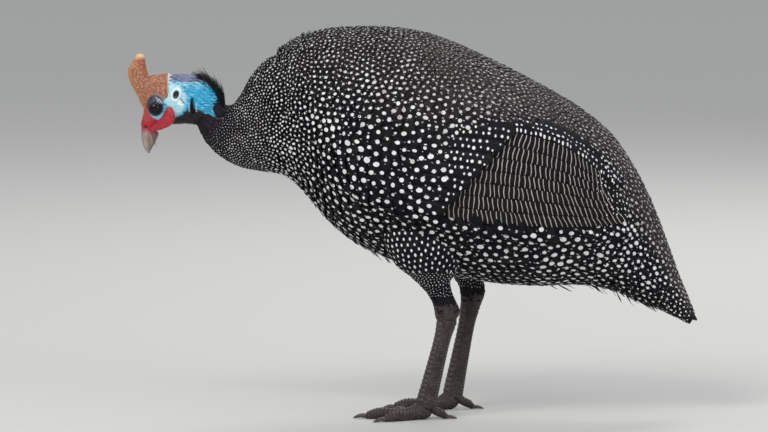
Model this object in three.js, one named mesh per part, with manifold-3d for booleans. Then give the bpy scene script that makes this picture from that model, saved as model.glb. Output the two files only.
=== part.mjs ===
// A helmeted guinea fowl, life size, standing with its head lowered to look at the ground.
// Millimetres, +Z up, the bill points to -X, and the bird's left side is -Y. The floor is z = 0.
import * as THREE from 'three';
import { mergeVertices } from 'three/addons/utils/BufferGeometryUtils.js';
import Module from 'manifold-3d';

const wasm = await Module();
wasm.setup();

// Driving dimensions
const GAP = 0.35; // clear space between pieces that touch
const EYE_RADIUS = 5.4;
const LID_RISE = 0.8; // the lids' ring reaches higher over the eye than under it
const VANE_THICK = 0.8;
const SOLE = 0.35; // how much of each toe is flattened by the floor
const NECK_CUT_X = -104; // where the feathered neck meets the torso
const TAIL_CUT_X = 139;
const LEFT = -1;
const RIGHT = 1;

// Colours of the finished pieces
const BLACK_PLUMAGE = [0x17171b, 0.75];
const BLUE_SKIN = [0x3fb4d8, 0.55];
const RED_SKIN = [0xb3202c, 0.5];
const HORN_CASQUE = [0xa8683f, 0.75];
const BILL_HORN = [0x8a7a72, 0.5];
const DARK_SCALE = [0x3b3134, 0.65];
const CLAW_HORN = [0x4a4040, 0.5];
const DARK_EYE = [0x120c0a, 0.1];

// Sections of the neck, torso and tail in side view: the outline's top and bottom points, and half the width.
const BODY_RIBS = [
  { top: [-136.4, 224.5], low: [-155.9, 211.7], half: 10.5 },
  { top: [-129.5, 223.5], low: [-147.2, 198.0], half: 13 },
  { top: [-123.0, 232.0], low: [-137.2, 188.6], half: 17 },
  { top: [-115.6, 245.0], low: [-122.8, 180.7], half: 23 },
  { top: [-105.5, 256.0], low: [-106.5, 177.0], half: 30 },
  { top: [-93.0, 266.5], low: [-93.0, 173.0], half: 38 },
  { top: [-80.0, 273.5], low: [-80.0, 163.0], half: 46 },
  { top: [-62.0, 278.5], low: [-62.0, 141.5], half: 56 },
  { top: [-40.0, 280.0], low: [-40.0, 123.5], half: 65 },
  { top: [-15.0, 279.5], low: [-15.0, 112.0], half: 71 },
  { top: [10.0, 275.5], low: [10.0, 104.0], half: 74 },
  { top: [35.0, 266.5], low: [35.0, 99.0], half: 75 },
  { top: [63.0, 253.5], low: [63.0, 95.0], half: 74 },
  { top: [92.0, 238.5], low: [92.0, 93.5], half: 69 },
  { top: [120.0, 222.0], low: [120.0, 94.0], half: 58 },
  { top: [142.0, 204.0], low: [142.0, 90.5], half: 46 },
  { top: [158.0, 182.0], low: [152.0, 86.5], half: 37 },
  { top: [170.0, 159.0], low: [160.0, 82.5], half: 30 },
  { top: [178.5, 139.0], low: [168.0, 79.5], half: 25 },
  { top: [186.0, 118.0], low: [176.0, 76.5], half: 21 },
  { top: [192.0, 102.0], low: [184.0, 73.0], half: 18 },
  { top: [197.0, 89.5], low: [190.5, 70.0], half: 15 },
  { top: [201.0, 79.5], low: [196.0, 67.0], half: 12 },
  { top: [204.0, 72.8], low: [200.6, 64.8], half: 8.5 },
];
const BODY_POWER = 2.25; // 2 is an ellipse, more is squarer

// Sections of the head, from the bare upper neck round to the base of the bill.
const HEAD_RIBS = [
  { top: [-136.6, 225.0], low: [-156.1, 212.2], half: 10.2 },
  { top: [-139.7, 232.8], low: [-158.0, 212.0], half: 10.6 },
  { top: [-146.9, 239.8], low: [-161.5, 212.4], half: 11.4 },
  { top: [-156.2, 244.0], low: [-167.0, 211.8], half: 12.2 },
  { top: [-167.2, 245.2], low: [-173.0, 210.8], half: 12.8 },
  { top: [-177.7, 243.2], low: [-178.4, 209.6], half: 12.2 },
  { top: [-187.0, 236.4], low: [-181.6, 208.2], half: 10.6 },
  { top: [-192.8, 229.0], low: [-183.0, 207.0], half: 9.0 },
  { top: [-194.6, 221.0], low: [-183.7, 205.8], half: 7.4 },
  { top: [-195.0, 213.8], low: [-183.9, 204.6], half: 6.0 },
  { top: [-194.9, 209.0], low: [-184.2, 203.4], half: 5.0 },
];

// The bill from inside the face to its tip.
const BILL_RIBS = [
  { top: [-194.9, 209.0], low: [-184.2, 203.4], half: 5.0 },
  { top: [-194.8, 205.0], low: [-185.4, 200.6], half: 4.6 },
  { top: [-194.4, 199.6], low: [-187.0, 197.2], half: 3.9 },
  { top: [-193.4, 194.4], low: [-188.6, 193.2], half: 2.7 },
  { top: [-191.6, 190.2], low: [-189.6, 190.0], half: 1.2 },
];

const KNOB_RIBS = [
  { top: [-196.0, 219.0], low: [-180.0, 228.0], half: 6.4 },
  { top: [-198.4, 230.0], low: [-183.4, 237.4], half: 6.6 },
  { top: [-201.6, 238.4], low: [-188.2, 243.4], half: 6.2 },
  { top: [-204.0, 243.6], low: [-190.4, 247.0], half: 5.9 },
  { top: [-204.4, 248.8], low: [-191.4, 250.8], half: 5.5 },
  { top: [-202.4, 253.4], low: [-192.3, 254.8], half: 4.7 },
  { top: [-199.2, 257.0], low: [-193.2, 258.0], half: 3.5 },
  { top: [-196.6, 260.0], low: [-194.2, 260.4], half: 1.8 },
];
const SADDLE_RIBS = [ // the crest's rise behind the knob
  { top: [-194.0, 236.0], low: [-187.0, 226.0], half: 6.0 },
  { top: [-188.0, 243.8], low: [-184.0, 228.0], half: 7.0 },
  { top: [-182.0, 244.8], low: [-180.0, 230.0], half: 7.6 },
  { top: [-175.4, 246.3], low: [-175.6, 232.0], half: 7.4 },
  { top: [-174.4, 245.6], low: [-174.6, 233.0], half: 6.8 },
];
const CASQUE_BASE = { thick: 1.5, lowZ: 231.6, rearX: -174.4 }; // its base, which wraps the forehead and crown

// The two legs: the near one is the left. Sections of the feathered drumstick, then of the bare shank.
const LEGS = {
  left: {
    side: LEFT,
    hipY: 40,
    footY: 33,
    drumstick: [
      { top: [-28.0, 156.0], low: [38.0, 150.0], half: 15 },
      { top: [-22.0, 132.0], low: [36.0, 124.0], half: 22 },
      { top: [-13.0, 113.0], low: [32.0, 108.0], half: 20 },
      { top: [-2.0, 101.0], low: [30.0, 97.0], half: 15 },
      { top: [8.5, 90.0], low: [31.5, 89.0], half: 10.5 },
      { top: [15.5, 80.0], low: [33.5, 80.0], half: 7.6 },
      { top: [18.0, 72.5], low: [34.0, 72.5], half: 6.4 },
    ],
    ankle: [25.8, 69.0],
    foot: [9.0, 8.5],
    toeTurn: 4,
  },
  right: {
    side: RIGHT,
    hipY: 40,
    footY: 30,
    drumstick: [
      { top: [-10.0, 156.0], low: [58.0, 150.0], half: 15 },
      { top: [-4.0, 132.0], low: [56.0, 124.0], half: 22 },
      { top: [8.0, 113.0], low: [54.0, 108.0], half: 20 },
      { top: [20.0, 101.0], low: [51.5, 98.0], half: 15 },
      { top: [29.0, 90.5], low: [51.5, 90.0], half: 10.5 },
      { top: [35.0, 81.5], low: [52.5, 82.0], half: 7.6 },
      { top: [36.5, 74.0], low: [52.5, 74.5], half: 6.4 },
    ],
    ankle: [44.2, 71.0],
    foot: [29.0, 8.5],
    toeTurn: -6,
  },
};
const SHANK_HALF = [6.6, 5.2, 4.6, 4.5, 4.7, 5.4]; // from ankle to foot, seen from the front
const SHANK_DEPTH = [7.0, 6.4, 5.9, 5.7, 6.0, 6.6]; // the same, seen from the side
const SCUTES = 8;
// Front toes and the short hind toe: direction in plan from straight ahead, length of the fleshy part, half width.
const TOES = [
  { name: 'inner', turn: 32, length: 31, half: 4.0, hind: false },
  { name: 'middle', turn: 0, length: 42, half: 4.4, hind: false },
  { name: 'outer', turn: -34, length: 33, half: 4.0, hind: false },
  { name: 'hind', turn: 172, length: 15, half: 3.1, hind: true },
];
const CLAW_LENGTH = 9;

// Small solids toolkit

function solidOf(geometry) {
  const bare = geometry.index ? geometry.toNonIndexed() : geometry.clone();
  for (const name of Object.keys(bare.attributes)) {
    if (name !== 'position') bare.deleteAttribute(name);
  }
  const merged = mergeVertices(bare, 1e-4);
  const mesh = new wasm.Mesh({
    numProp: 3,
    vertProperties: merged.attributes.position.array,
    triVerts: new Uint32Array(merged.index.array),
  });
  const made = new wasm.Manifold(mesh);
  return made;
}

function geometryOf(solid) {
  const mesh = solid.getMesh();
  const positions = new Float32Array(mesh.triVerts.length * 3);
  mesh.triVerts.forEach((vertex, i) => {
    for (let k = 0; k < 3; k += 1) {
      positions[i * 3 + k] = mesh.vertProperties[vertex * mesh.numProp + k];
    }
  });
  const geometry = new THREE.BufferGeometry();
  geometry.setAttribute('position', new THREE.BufferAttribute(positions, 3));
  geometry.computeVertexNormals();
  return geometry;
}

function largest(solid) {
  return solid.decompose().reduce((a, b) => (b.volume() > a.volume() ? b : a));
}

function union(solids) {
  return solids.reduce((a, b) => a.add(b));
}

// A closed body from rings of points, with its two ends closed by fans.
function closedRings(rings) {
  const count = rings[0].length;
  const corners = [];
  const put = (a, b, c) => corners.push(a, b, c);
  for (let i = 0; i + 1 < rings.length; i += 1) {
    for (let j = 0; j < count; j += 1) {
      const k = (j + 1) % count;
      put(rings[i][j], rings[i + 1][j], rings[i + 1][k]);
      put(rings[i][j], rings[i + 1][k], rings[i][k]);
    }
  }
  for (const [ring, first] of [[rings[0], true], [rings.at(-1), false]]) {
    const middle = new THREE.Vector3();
    ring.forEach((p) => middle.add(p));
    middle.divideScalar(count);
    for (let j = 0; j < count; j += 1) {
      const k = (j + 1) % count;
      if (first) put(middle, ring[j], ring[k]);
      else put(middle, ring[k], ring[j]);
    }
  }
  const made = solidOf(new THREE.BufferGeometry().setFromPoints(corners));
  if (made.volume() > 0) return made;
  const turned = [];
  for (let i = 0; i < corners.length; i += 3) turned.push(corners[i], corners[i + 2], corners[i + 1]);
  return solidOf(new THREE.BufferGeometry().setFromPoints(turned));
}

// Smooth curves through the sections: each gives its value at t from 0 to 1.
function ribCurves(ribs) {
  const through = (pick) => new THREE.CatmullRomCurve3(ribs.map(pick), false, 'centripetal');
  const top = through((r) => new THREE.Vector3(r.top[0], 0, r.top[1]));
  const low = through((r) => new THREE.Vector3(r.low[0], 0, r.low[1]));
  return (t) => {
    const place = t * (ribs.length - 1);
    const i = Math.min(Math.floor(place), ribs.length - 2);
    const f = place - i;
    const h = (k) => ribs[Math.min(Math.max(k, 0), ribs.length - 1)].half;
    const half = 0.5 * (2 * h(i) + (h(i + 1) - h(i - 1)) * f
      + (2 * h(i - 1) - 5 * h(i) + 4 * h(i + 1) - h(i + 2)) * f * f
      + (3 * h(i) - h(i - 1) - 3 * h(i + 1) + h(i + 2)) * f * f * f);
    return { top: top.getPoint(t), low: low.getPoint(t), half };
  };
}

function signedPower(value, power) {
  return Math.sign(value) * Math.abs(value) ** (2 / power);
}

function sectionRing({ top, low, half }, sides, power, grow) {
  const middle = top.clone().add(low).multiplyScalar(0.5);
  const up = top.clone().sub(low).multiplyScalar(0.5);
  up.multiplyScalar((up.length() + grow) / up.length());
  return Array.from({ length: sides }, (_, j) => {
    const angle = (j / sides) * 2 * Math.PI;
    return middle.clone()
      .addScaledVector(up, signedPower(Math.cos(angle), power))
      .add(new THREE.Vector3(0, (half + grow) * signedPower(Math.sin(angle), power), 0));
  });
}

// A smooth body through sections. "bend" may move each of its points sideways, given the point.
function ribLoft(ribs, steps, sides, { power = 2, grow = 0, bend = null } = {}) {
  const at = ribCurves(ribs);
  const rings = Array.from({ length: steps + 1 }, (_, i) => sectionRing(at(i / steps), sides, power, grow));
  if (bend) {
    rings.flat().forEach((p) => {
      p.y += bend(p);
    });
  }
  return closedRings(rings);
}

// A big block that keeps one side of a plane, for parting a solid.
function halfSpace(normal, offset) {
  const size = 1200;
  const box = new THREE.BoxGeometry(size, size, size);
  const direction = new THREE.Vector3(...normal).normalize();
  const turn = new THREE.Quaternion().setFromUnitVectors(new THREE.Vector3(1, 0, 0), direction);
  box.applyQuaternion(turn);
  box.translate(...direction.clone().multiplyScalar(offset + size / 2).toArray());
  return solidOf(box);
}

// A round tube through points, each with its own radii across (y) and along the path's own up.
function tube(points, radii, sides, flat = 1) {
  const curve = new THREE.CatmullRomCurve3(points, false, 'centripetal');
  const rings = radii.map((radius, i) => {
    const t = i / (radii.length - 1);
    const here = curve.getPoint(t);
    const along = curve.getTangent(t);
    const across = new THREE.Vector3().crossVectors(along, new THREE.Vector3(0, 0, 1));
    if (across.length() < 0.05) across.set(0, 1, 0);
    across.normalize();
    const up = new THREE.Vector3().crossVectors(across, along).normalize();
    return Array.from({ length: sides }, (_, j) => {
      const angle = ((j + 0.5) / sides) * 2 * Math.PI;
      return here.clone()
        .addScaledVector(across, radius * Math.cos(angle))
        .addScaledVector(up, radius * flat * Math.sin(angle));
    });
  });
  return closedRings(rings);
}

function ball(radius, centre, wide = 14, high = 10) {
  const sphere = new THREE.SphereGeometry(radius, wide, high);
  sphere.translate(...centre);
  return solidOf(sphere);
}

// A thin plate between two grids of points that share their triangles, rows run along it.
function plate(upper, under) {
  const rows = upper.length;
  const columns = upper[0].length;
  const corners = [];
  const quad = (a, b, c, d) => corners.push(a, b, c, a, c, d);
  for (let i = 0; i + 1 < rows; i += 1) {
    for (let j = 0; j + 1 < columns; j += 1) {
      quad(upper[i][j], upper[i + 1][j], upper[i + 1][j + 1], upper[i][j + 1]);
      corners.push(under[i][j], under[i + 1][j + 1], under[i + 1][j]);
      corners.push(under[i][j], under[i][j + 1], under[i + 1][j + 1]);
    }
    quad(upper[i][0], under[i][0], under[i + 1][0], upper[i + 1][0]);
    const last = columns - 1;
    quad(upper[i][last], upper[i + 1][last], under[i + 1][last], under[i][last]);
  }
  for (let j = 0; j + 1 < columns; j += 1) {
    const end = rows - 1;
    quad(upper[0][j], upper[0][j + 1], under[0][j + 1], under[0][j]);
    quad(upper[end][j], under[end][j], under[end][j + 1], upper[end][j + 1]);
  }
  const made = solidOf(new THREE.BufferGeometry().setFromPoints(corners));
  if (made.volume() > 0) return made;
  const turned = [];
  for (let i = 0; i < corners.length; i += 3) turned.push(corners[i], corners[i + 2], corners[i + 1]);
  return solidOf(new THREE.BufferGeometry().setFromPoints(turned));
}

// The body's side as a height y over the side view, for all that lies on it
const bodyAt = ribCurves(BODY_RIBS);

function sectionAtX(x) {
  let near = 0.2;
  let far = 1;
  for (let i = 0; i < 24; i += 1) {
    const mid = (near + far) / 2;
    const { top, low } = bodyAt(mid);
    if ((top.x + low.x) / 2 < x) near = mid;
    else far = mid;
  }
  return bodyAt((near + far) / 2);
}

function sideY(x, z) {
  const { top, low, half } = sectionAtX(x);
  const reach = (top.z - low.z) / 2;
  const u = Math.min(Math.abs((z - (top.z + low.z) / 2) / reach), 0.985);
  return half * (1 - u ** BODY_POWER) ** (1 / BODY_POWER);
}

// A point over the body's side: x and z as seen from the side, lift is the distance off the surface.
function onSide(x, z, lift, side) {
  const step = 1.5;
  const slopeX = (sideY(x + step, z) - sideY(x - step, z)) / (2 * step);
  const slopeZ = (sideY(x, z + step) - sideY(x, z - step)) / (2 * step);
  const out = new THREE.Vector3(-slopeX, 1, -slopeZ).normalize();
  const point = new THREE.Vector3(x, sideY(x, z), z).addScaledVector(out, lift);
  point.y *= side;
  return point;
}

const VANE_STATIONS = [0, 0.42, 0.8, 1];

// Outline of a vane: its share of full width along its length, narrow at the quill and round at the tip.
function vaneShare(u) {
  const root = 0.55 + 0.45 * Math.min(u / 0.35, 1);
  const round = u < 0.66 ? 1 : Math.sqrt(Math.max(1 - ((u - 0.66) / 0.36) ** 2, 0.05));
  return root * round;
}

// A flight feather or covert that lies on the body's side, from root to tip in side view.
// Its quill end is sunk in the wing by "sunk", and its tip is a thin free edge.
function sideVane({ root, tip, width, lift, tilt, bow, sunk, side, ribbed = false }) {
  const start = new THREE.Vector2(...root);
  const along = new THREE.Vector2(...tip).sub(start);
  const across = new THREE.Vector2(-along.y, along.x).normalize();
  const columns = ribbed ? [-1, 0, 1] : [-1, 1];
  const layer = (depth) => VANE_STATIONS.map((u) => columns.map((v) => {
    const half = 0.5 * width * vaneShare(u);
    const arch = bow * 4 * u * (1 - u);
    const p = start.clone().addScaledVector(along, u).addScaledVector(across, half * v + arch);
    const raised = lift[0] + (lift[1] - lift[0]) * u + tilt * v * Math.min(u * 3, 1);
    const ridge = v === 0 && depth === 0 ? 0.3 : 0;
    return onSide(p.x, p.y, raised + ridge - depth * (VANE_THICK + sunk * (1 - u)), side);
  }));
  return plate(layer(0), layer(1));
}

// Body of flesh, parted into neck, torso and tail

const wholeBody = ribLoft(BODY_RIBS, 33, 26, { power: BODY_POWER });
const grownBody = ribLoft(BODY_RIBS, 33, 26, { power: BODY_POWER, grow: GAP });
const neckSide = halfSpace([-1, 0, 0], -NECK_CUT_X + GAP / 2);
const tailSide = halfSpace([1, 0, 0], TAIL_CUT_X + GAP / 2);
const neckCore = wholeBody.intersect(neckSide);
const tailCore = ribLoft(BODY_RIBS, 26, 18, { power: BODY_POWER }).intersect(tailSide);
const torso = wholeBody
  .intersect(halfSpace([1, 0, 0], NECK_CUT_X + GAP / 2))
  .intersect(halfSpace([-1, 0, 0], -TAIL_CUT_X + GAP / 2));

// Wings: a slab that lies on the side, with its feathers in tiers

const WING_FRONT_X = -68;
const WING_REAR_X = 150;
const WING_THICK = 6.0;
const WING_LIFT = 1.1; // how far the wing's inner face clears the body
const WING_EDGES = [ // lower and upper edge in side view, front to rear
  { x: -68, low: 172, high: 206 },
  { x: -30, low: 154, high: 236 },
  { x: 10, low: 140, high: 244 },
  { x: 55, low: 131, high: 236 },
  { x: 105, low: 127, high: 214 },
  { x: 150, low: 127, high: 160 },
];

function wingEdge(x, key) {
  const i = WING_EDGES.findIndex((e, k) => k + 2 > WING_EDGES.length - 1 || x <= WING_EDGES[k + 1].x);
  const a = WING_EDGES[i];
  const b = WING_EDGES[i + 1];
  const f = THREE.MathUtils.smoothstep(x, a.x, b.x);
  return a[key] + (b[key] - a[key]) * f;
}

function wingSlab(side) {
  const steps = 12;
  const columns = 6;
  const layer = (outer) => Array.from({ length: steps + 1 }, (_, i) => {
    const x = WING_FRONT_X + ((WING_REAR_X - WING_FRONT_X) * i) / steps;
    const ends = Math.sin(Math.PI * Math.min(Math.max((i + 0.35) / (steps + 0.7), 0), 1)) ** 0.4;
    return Array.from({ length: columns + 1 }, (_, j) => {
      const f = j / columns;
      const z = wingEdge(x, 'low') * (1 - f) + wingEdge(x, 'high') * f;
      const edge = Math.sin(Math.PI * (0.06 + 0.88 * f)) ** 0.55;
      const lift = outer ? WING_LIFT + 0.8 + (WING_THICK - WING_LIFT) * ends * edge : WING_LIFT;
      return onSide(x, z, lift, side);
    });
  });
  return plate(layer(true), layer(false));
}

// Rows of side vanes between an upper and a lower feather of the row.
const WING_ROWS = [
  { count: 2, roots: [[62, 139], [66, 134]], tips: [[163, 126], [148, 118]], width: 13, lift: [3.0, 3.2], bow: -2, sunk: 0.6 },
  { count: 6, roots: [[50, 220], [30, 146]], tips: [[147, 184], [154, 131]], width: 20, lift: [4.0, 5.0], bow: 3, sunk: 1.2 },
  { count: 4, roots: [[16, 228], [-2, 156]], tips: [[84, 216], [66, 140]], width: 25, lift: [5.4, 7.0], bow: 2, sunk: 2 },
  { count: 4, roots: [[-22, 226], [-34, 164]], tips: [[34, 228], [18, 150]], width: 24, lift: [5.6, 8.0], bow: 2, sunk: 2 },
  { count: 3, roots: [[-48, 210], [-54, 182]], tips: [[-10, 220], [-20, 172]], width: 21, lift: [4.6, 8.2], bow: 1, sunk: 2 },
  { count: 3, roots: [[22, 248], [8, 238]], tips: [[104, 226], [80, 214]], width: 19, lift: [2.6, 8.2], bow: 4, sunk: 1.2 },
];

function rowOfVanes({ count, roots, tips, bow, ...rest }, side) {
  return Array.from({ length: count }, (_, i) => {
    const f = i / (count - 1);
    const mix = (pair) => pair[0].map((a, k) => a * (1 - f) + pair[1][k] * f);
    return sideVane({ root: mix(roots), tip: mix(tips), tilt: 0.8, bow: bow * (1 - f), side, ...rest });
  });
}

function wing(side) {
  const vanes = WING_ROWS.flatMap((row) => rowOfVanes(row, side));
  return largest(union([wingSlab(side), ...vanes]).subtract(grownBody));
}

// Tail: flight feathers spread like a steep roof, with coverts over and under

const TAIL_ROOT = new THREE.Vector3(120, 0, 150);
const TAIL_TIP = new THREE.Vector3(204, 0, 66);

// One tail vane. "fan" runs from 0 at the ridge to 1 at the outer edge; the plate leans out with it.
function tailVane({ fan, start, end, width, rise, side }) {
  const axis = TAIL_TIP.clone().sub(TAIL_ROOT).normalize();
  const upAcross = new THREE.Vector3(-axis.z, 0, axis.x).multiplyScalar(axis.x > 0 ? 1 : -1);
  const lean = 0.35 + 1.05 * fan;
  const outward = new THREE.Vector3(0, side, 0);
  const face = upAcross.clone().multiplyScalar(Math.cos(lean)).addScaledVector(outward, Math.sin(lean));
  const across = upAcross.clone().multiplyScalar(-Math.sin(lean)).addScaledVector(outward, Math.cos(lean));
  const layer = (depth) => VANE_STATIONS.map((u) => [-1, 1].map((v) => {
    const half = 0.5 * width * vaneShare(u);
    const place = start.clone().lerp(end, u);
    const arch = rise * Math.sin(Math.PI * u * 0.5);
    const under = depth * (VANE_THICK + 1.6 * (1 - u));
    return place.addScaledVector(across, half * v).addScaledVector(face, arch - under + 0.5 * v);
  }));
  return plate(layer(0), layer(1));
}

function tailFeathers(side) {
  const made = [];
  const pairs = 4;
  for (let i = 0; i < pairs; i += 1) {
    const f = i / (pairs - 1);
    const start = new THREE.Vector3(138 + 4 * f, side * (3 + 13 * f), 134 - 24 * f);
    const end = new THREE.Vector3(205 - 17 * f, side * (2.2 + 11 * f), 67 + 2 * f);
    made.push(tailVane({ fan: f, start, end, width: 17, rise: 0, side }));
  }
  const rows = [
    { count: 2, x: 156, reach: 36, z: 172, drop: 66 },
  ];
  for (const row of rows) {
    for (let i = 0; i < row.count; i += 1) {
      const f = i / (row.count - 1);
      const z0 = row.z - 34 * f;
      const x0 = row.x + 4 * (1 - f);
      const y0 = sideY(x0, z0) - 1.5;
      const x1 = x0 + row.reach - 7 * f;
      const z1 = z0 - row.drop + 16 * f;
      const y1 = Math.max(sideY(Math.min(x1, 193), z1), 2) + 1.8;
      made.push(tailVane({
        fan: 0.25 + 0.7 * f,
        start: new THREE.Vector3(x0, side * y0, z0),
        end: new THREE.Vector3(Math.min(x1, 200), side * y1, z1),
        width: 13,
        rise: 1.2,
        side,
      }));
    }
  }
  return made;
}

function undertailCoverts(side) {
  return Array.from({ length: 2 }, (_, i) => {
    const start = new THREE.Vector3(146 + 11 * i, side * (5 + 3 * (i % 2)), 91 - 3 * i);
    const end = new THREE.Vector3(172 + 9 * i, side * (4 + 3 * (i % 2)), 79 - 5 * i);
    return tailVane({ fan: 1.5, start, end, width: 11, rise: -0.6, side });
  });
}

const tailPieces = [LEFT, RIGHT].flatMap((side) => [...tailFeathers(side), ...undertailCoverts(side)]);
const torsoGuard = halfSpace([-1, 0, 0], -TAIL_CUT_X - GAP / 2);
const tail = largest(union([tailCore, ...tailPieces]).subtract(torsoGuard));

// Head

const eyeCentre = (side) => [-184.6, side * 6.6, 221.4];
const faceRidge = (points, radii, sides) => tube(points.map((p) => new THREE.Vector3(...p)), radii, sides);

// A ring of skin in the side of the head, for eyelids and the rim of the ear.
function skinRing(centre, wide, high, thick, outY, side, sides = 14) {
  const rings = [];
  const section = 4;
  for (let i = 0; i < sides; i += 1) {
    const angle = (i / sides) * 2 * Math.PI;
    const radial = new THREE.Vector3(Math.cos(angle), 0, Math.sin(angle));
    rings.push(Array.from({ length: section }, (_, j) => {
      const a = (j / section) * 2 * Math.PI;
      return new THREE.Vector3(centre[0], side * outY, centre[2])
        .add(new THREE.Vector3(radial.x * wide, 0, radial.z * high))
        .addScaledVector(radial, thick * Math.cos(a))
        .add(new THREE.Vector3(0, side * thick * 1.2 * Math.sin(a), 0));
    }));
  }
  const corners = [];
  for (let i = 0; i < sides; i += 1) {
    const next = rings[(i + 1) % sides];
    for (let j = 0; j < section; j += 1) {
      const k = (j + 1) % section;
      corners.push(rings[i][j], next[j], next[k], rings[i][j], next[k], rings[i][k]);
    }
  }
  const made = solidOf(new THREE.BufferGeometry().setFromPoints(corners));
  if (made.volume() > 0) return made;
  const turned = [];
  for (let i = 0; i < corners.length; i += 3) turned.push(corners[i], corners[i + 2], corners[i + 1]);
  return solidOf(new THREE.BufferGeometry().setFromPoints(turned));
}

// The nape's hair-like feathers, as flat tapered locks that stand up towards the crown.
const PLUME = { rows: 2, perRow: 5, length: 19, width: 4.4, thick: 1.2 };

function plumeLocks() {
  const locks = [];
  const napeAt = ribCurves(HEAD_RIBS);
  for (let row = 0; row < PLUME.rows; row += 1) {
    for (let i = 0; i < PLUME.perRow; i += 1) {
      const f = i / (PLUME.perRow - 1);
      const { top, low } = napeAt(0.015 + 0.235 * f + 0.01 * (row % 2));
      const up = top.clone().sub(low).normalize();
      const ahead = new THREE.Vector3(-up.z, 0, up.x);
      const y = (row - 0.5) * 4.6;
      const root = top.clone().addScaledVector(up, -1.6).add(new THREE.Vector3(0, y, 0));
      const length = PLUME.length * (0.62 + 0.38 * Math.sin(Math.PI * (0.15 + 0.8 * f)));
      const reach = root.clone()
        .addScaledVector(ahead, length * (0.62 + 0.1 * row))
        .addScaledVector(up, 2.4 + length * (0.34 + 0.14 * ((i + row) % 3)))
        .add(new THREE.Vector3(0, y * 0.5, 0));
      const middle = root.clone().lerp(reach, 0.5).addScaledVector(up, 2.2);
      const blade = (extra) => [0, 0.5, 1].map((u) => {
        const p = u === 0 ? root : u === 0.5 ? middle : reach;
        const half = [0.5, 0.42, 0.12][u * 2] * PLUME.width;
        const thick = PLUME.thick * (1 - 0.6 * u);
        return [-1, 1].map((v) => p.clone()
          .add(new THREE.Vector3(0, half * v, 0))
          .addScaledVector(up, extra * thick));
      });
      locks.push(plate(blade(0.5), blade(-0.5)));
    }
  }
  return locks;
}

const headLoft = ribLoft(HEAD_RIBS, 18, 18, { power: 2.1 });
const headGrown = ribLoft(HEAD_RIBS, 18, 18, { power: 2.1, grow: GAP });
const faceCut = halfSpace([0.42, 0, 0.9], (-194.9 * 0.42 + 209.0 * 0.9) / Math.hypot(0.42, 0.9) + GAP);

function headSide(side) {
  const [ex, , ez] = eyeCentre(side);
  return [
    skinRing([ex, 0, ez + LID_RISE], 5.4, 6.6, 1.3, 11.0, side, 12),
    skinRing([-169.6, 0, 230.6], 1.9, 2.6, 0.8, 12.2, side, 8),
    faceRidge([[-190.5, side * 4.0, 209], [-192.6, side * 4.6, 213], [-191.5, side * 5.0, 217.5]], [1.4, 3.0, 1.2], 7),
    faceRidge([[-185.0, side * 4.6, 205.4], [-182.2, side * 6.4, 208.4], [-178.5, side * 9.4, 212.0]], [1.6, 2.2, 1.2], 6),
  ];
}

const nostril = (side) => ball(1.1, [-193.0, side * 7.4, 212.2], 6, 5);
const earHole = (side) => ball(1.7, [-169.6, side * 13.4, 230.6], 6, 5);
const eyeSocket = (side) => ball(EYE_RADIUS + GAP, eyeCentre(side), 14, 8);
const plume = plumeLocks();
const headWhole = union([headLoft, ...headSide(LEFT), ...headSide(RIGHT), ...plume]);
const headHollows = union([LEFT, RIGHT].flatMap((side) => [nostril(side), earHole(side), eyeSocket(side)]));
const head = largest(headWhole.subtract(headHollows).intersect(faceCut));

// Neck: its upper end is trimmed clear of the head and its locks
const headCutter = union([headGrown, ...plume]);
const neck = largest(neckCore.subtract(headCutter));

const casqueBase = ribLoft(HEAD_RIBS, 18, 18, { power: 2.1, grow: CASQUE_BASE.thick })
  .intersect(halfSpace([0, 0, 1], CASQUE_BASE.lowZ))
  .intersect(halfSpace([-1, 0, 0], -CASQUE_BASE.rearX));
const casque = largest(
  union([
    ribLoft(KNOB_RIBS, 12, 14, { power: 2.2 }),
    ribLoft(SADDLE_RIBS, 6, 14, { power: 2.4 }),
    casqueBase,
  ]).subtract(headGrown).subtract(union([LEFT, RIGHT].map((side) => ball(7.6, eyeCentre(side))))),
);

// Bill, split along the line of the mouth
const billLoft = ribLoft(BILL_RIBS, 10, 14, { power: 2 });
const belowFace = halfSpace([-0.42, 0, -0.9], -(-194.9 * 0.42 + 209.0 * 0.9) / Math.hypot(0.42, 0.9));
const bill = billLoft.intersect(belowFace);
const MOUTH_NORMAL = [-0.93, 0, -0.36];
const mouthPlace = (-187.6 * -0.93 + 200.0 * -0.36) / Math.hypot(0.93, 0.36);
const billUpper = largest(bill.intersect(halfSpace(MOUTH_NORMAL, mouthPlace + GAP / 2)));
const billLower = largest(bill.intersect(halfSpace(MOUTH_NORMAL.map((n) => -n), -mouthPlace + GAP / 2)));

// Wattles: a thick round lobe that sweeps back over each cheek
const WATTLE_RIBS = [
  { top: [-187.6, 207.4], low: [-184.4, 203.0], half: 1.0 },
  { top: [-184.2, 211.2], low: [-180.4, 205.4], half: 1.2 },
  { top: [-180.4, 214.4], low: [-175.8, 207.8], half: 1.4 },
  { top: [-177.6, 217.8], low: [-171.4, 211.0], half: 1.6 },
  { top: [-175.4, 220.2], low: [-170.0, 215.0], half: 1.5 },
  { top: [-173.8, 220.8], low: [-171.2, 218.8], half: 1.0 },
];

function wattle(side) {
  const bend = (p) => side * (6.2 + 7.4 * THREE.MathUtils.smoothstep(p.x, -188, -172));
  return largest(ribLoft(WATTLE_RIBS, 7, 12, { power: 2.2, bend }).subtract(headCutterFace));
}

const headCutterFace = union([headGrown, ...[LEFT, RIGHT].flatMap((side) => headSideGrown(side))]);

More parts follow.
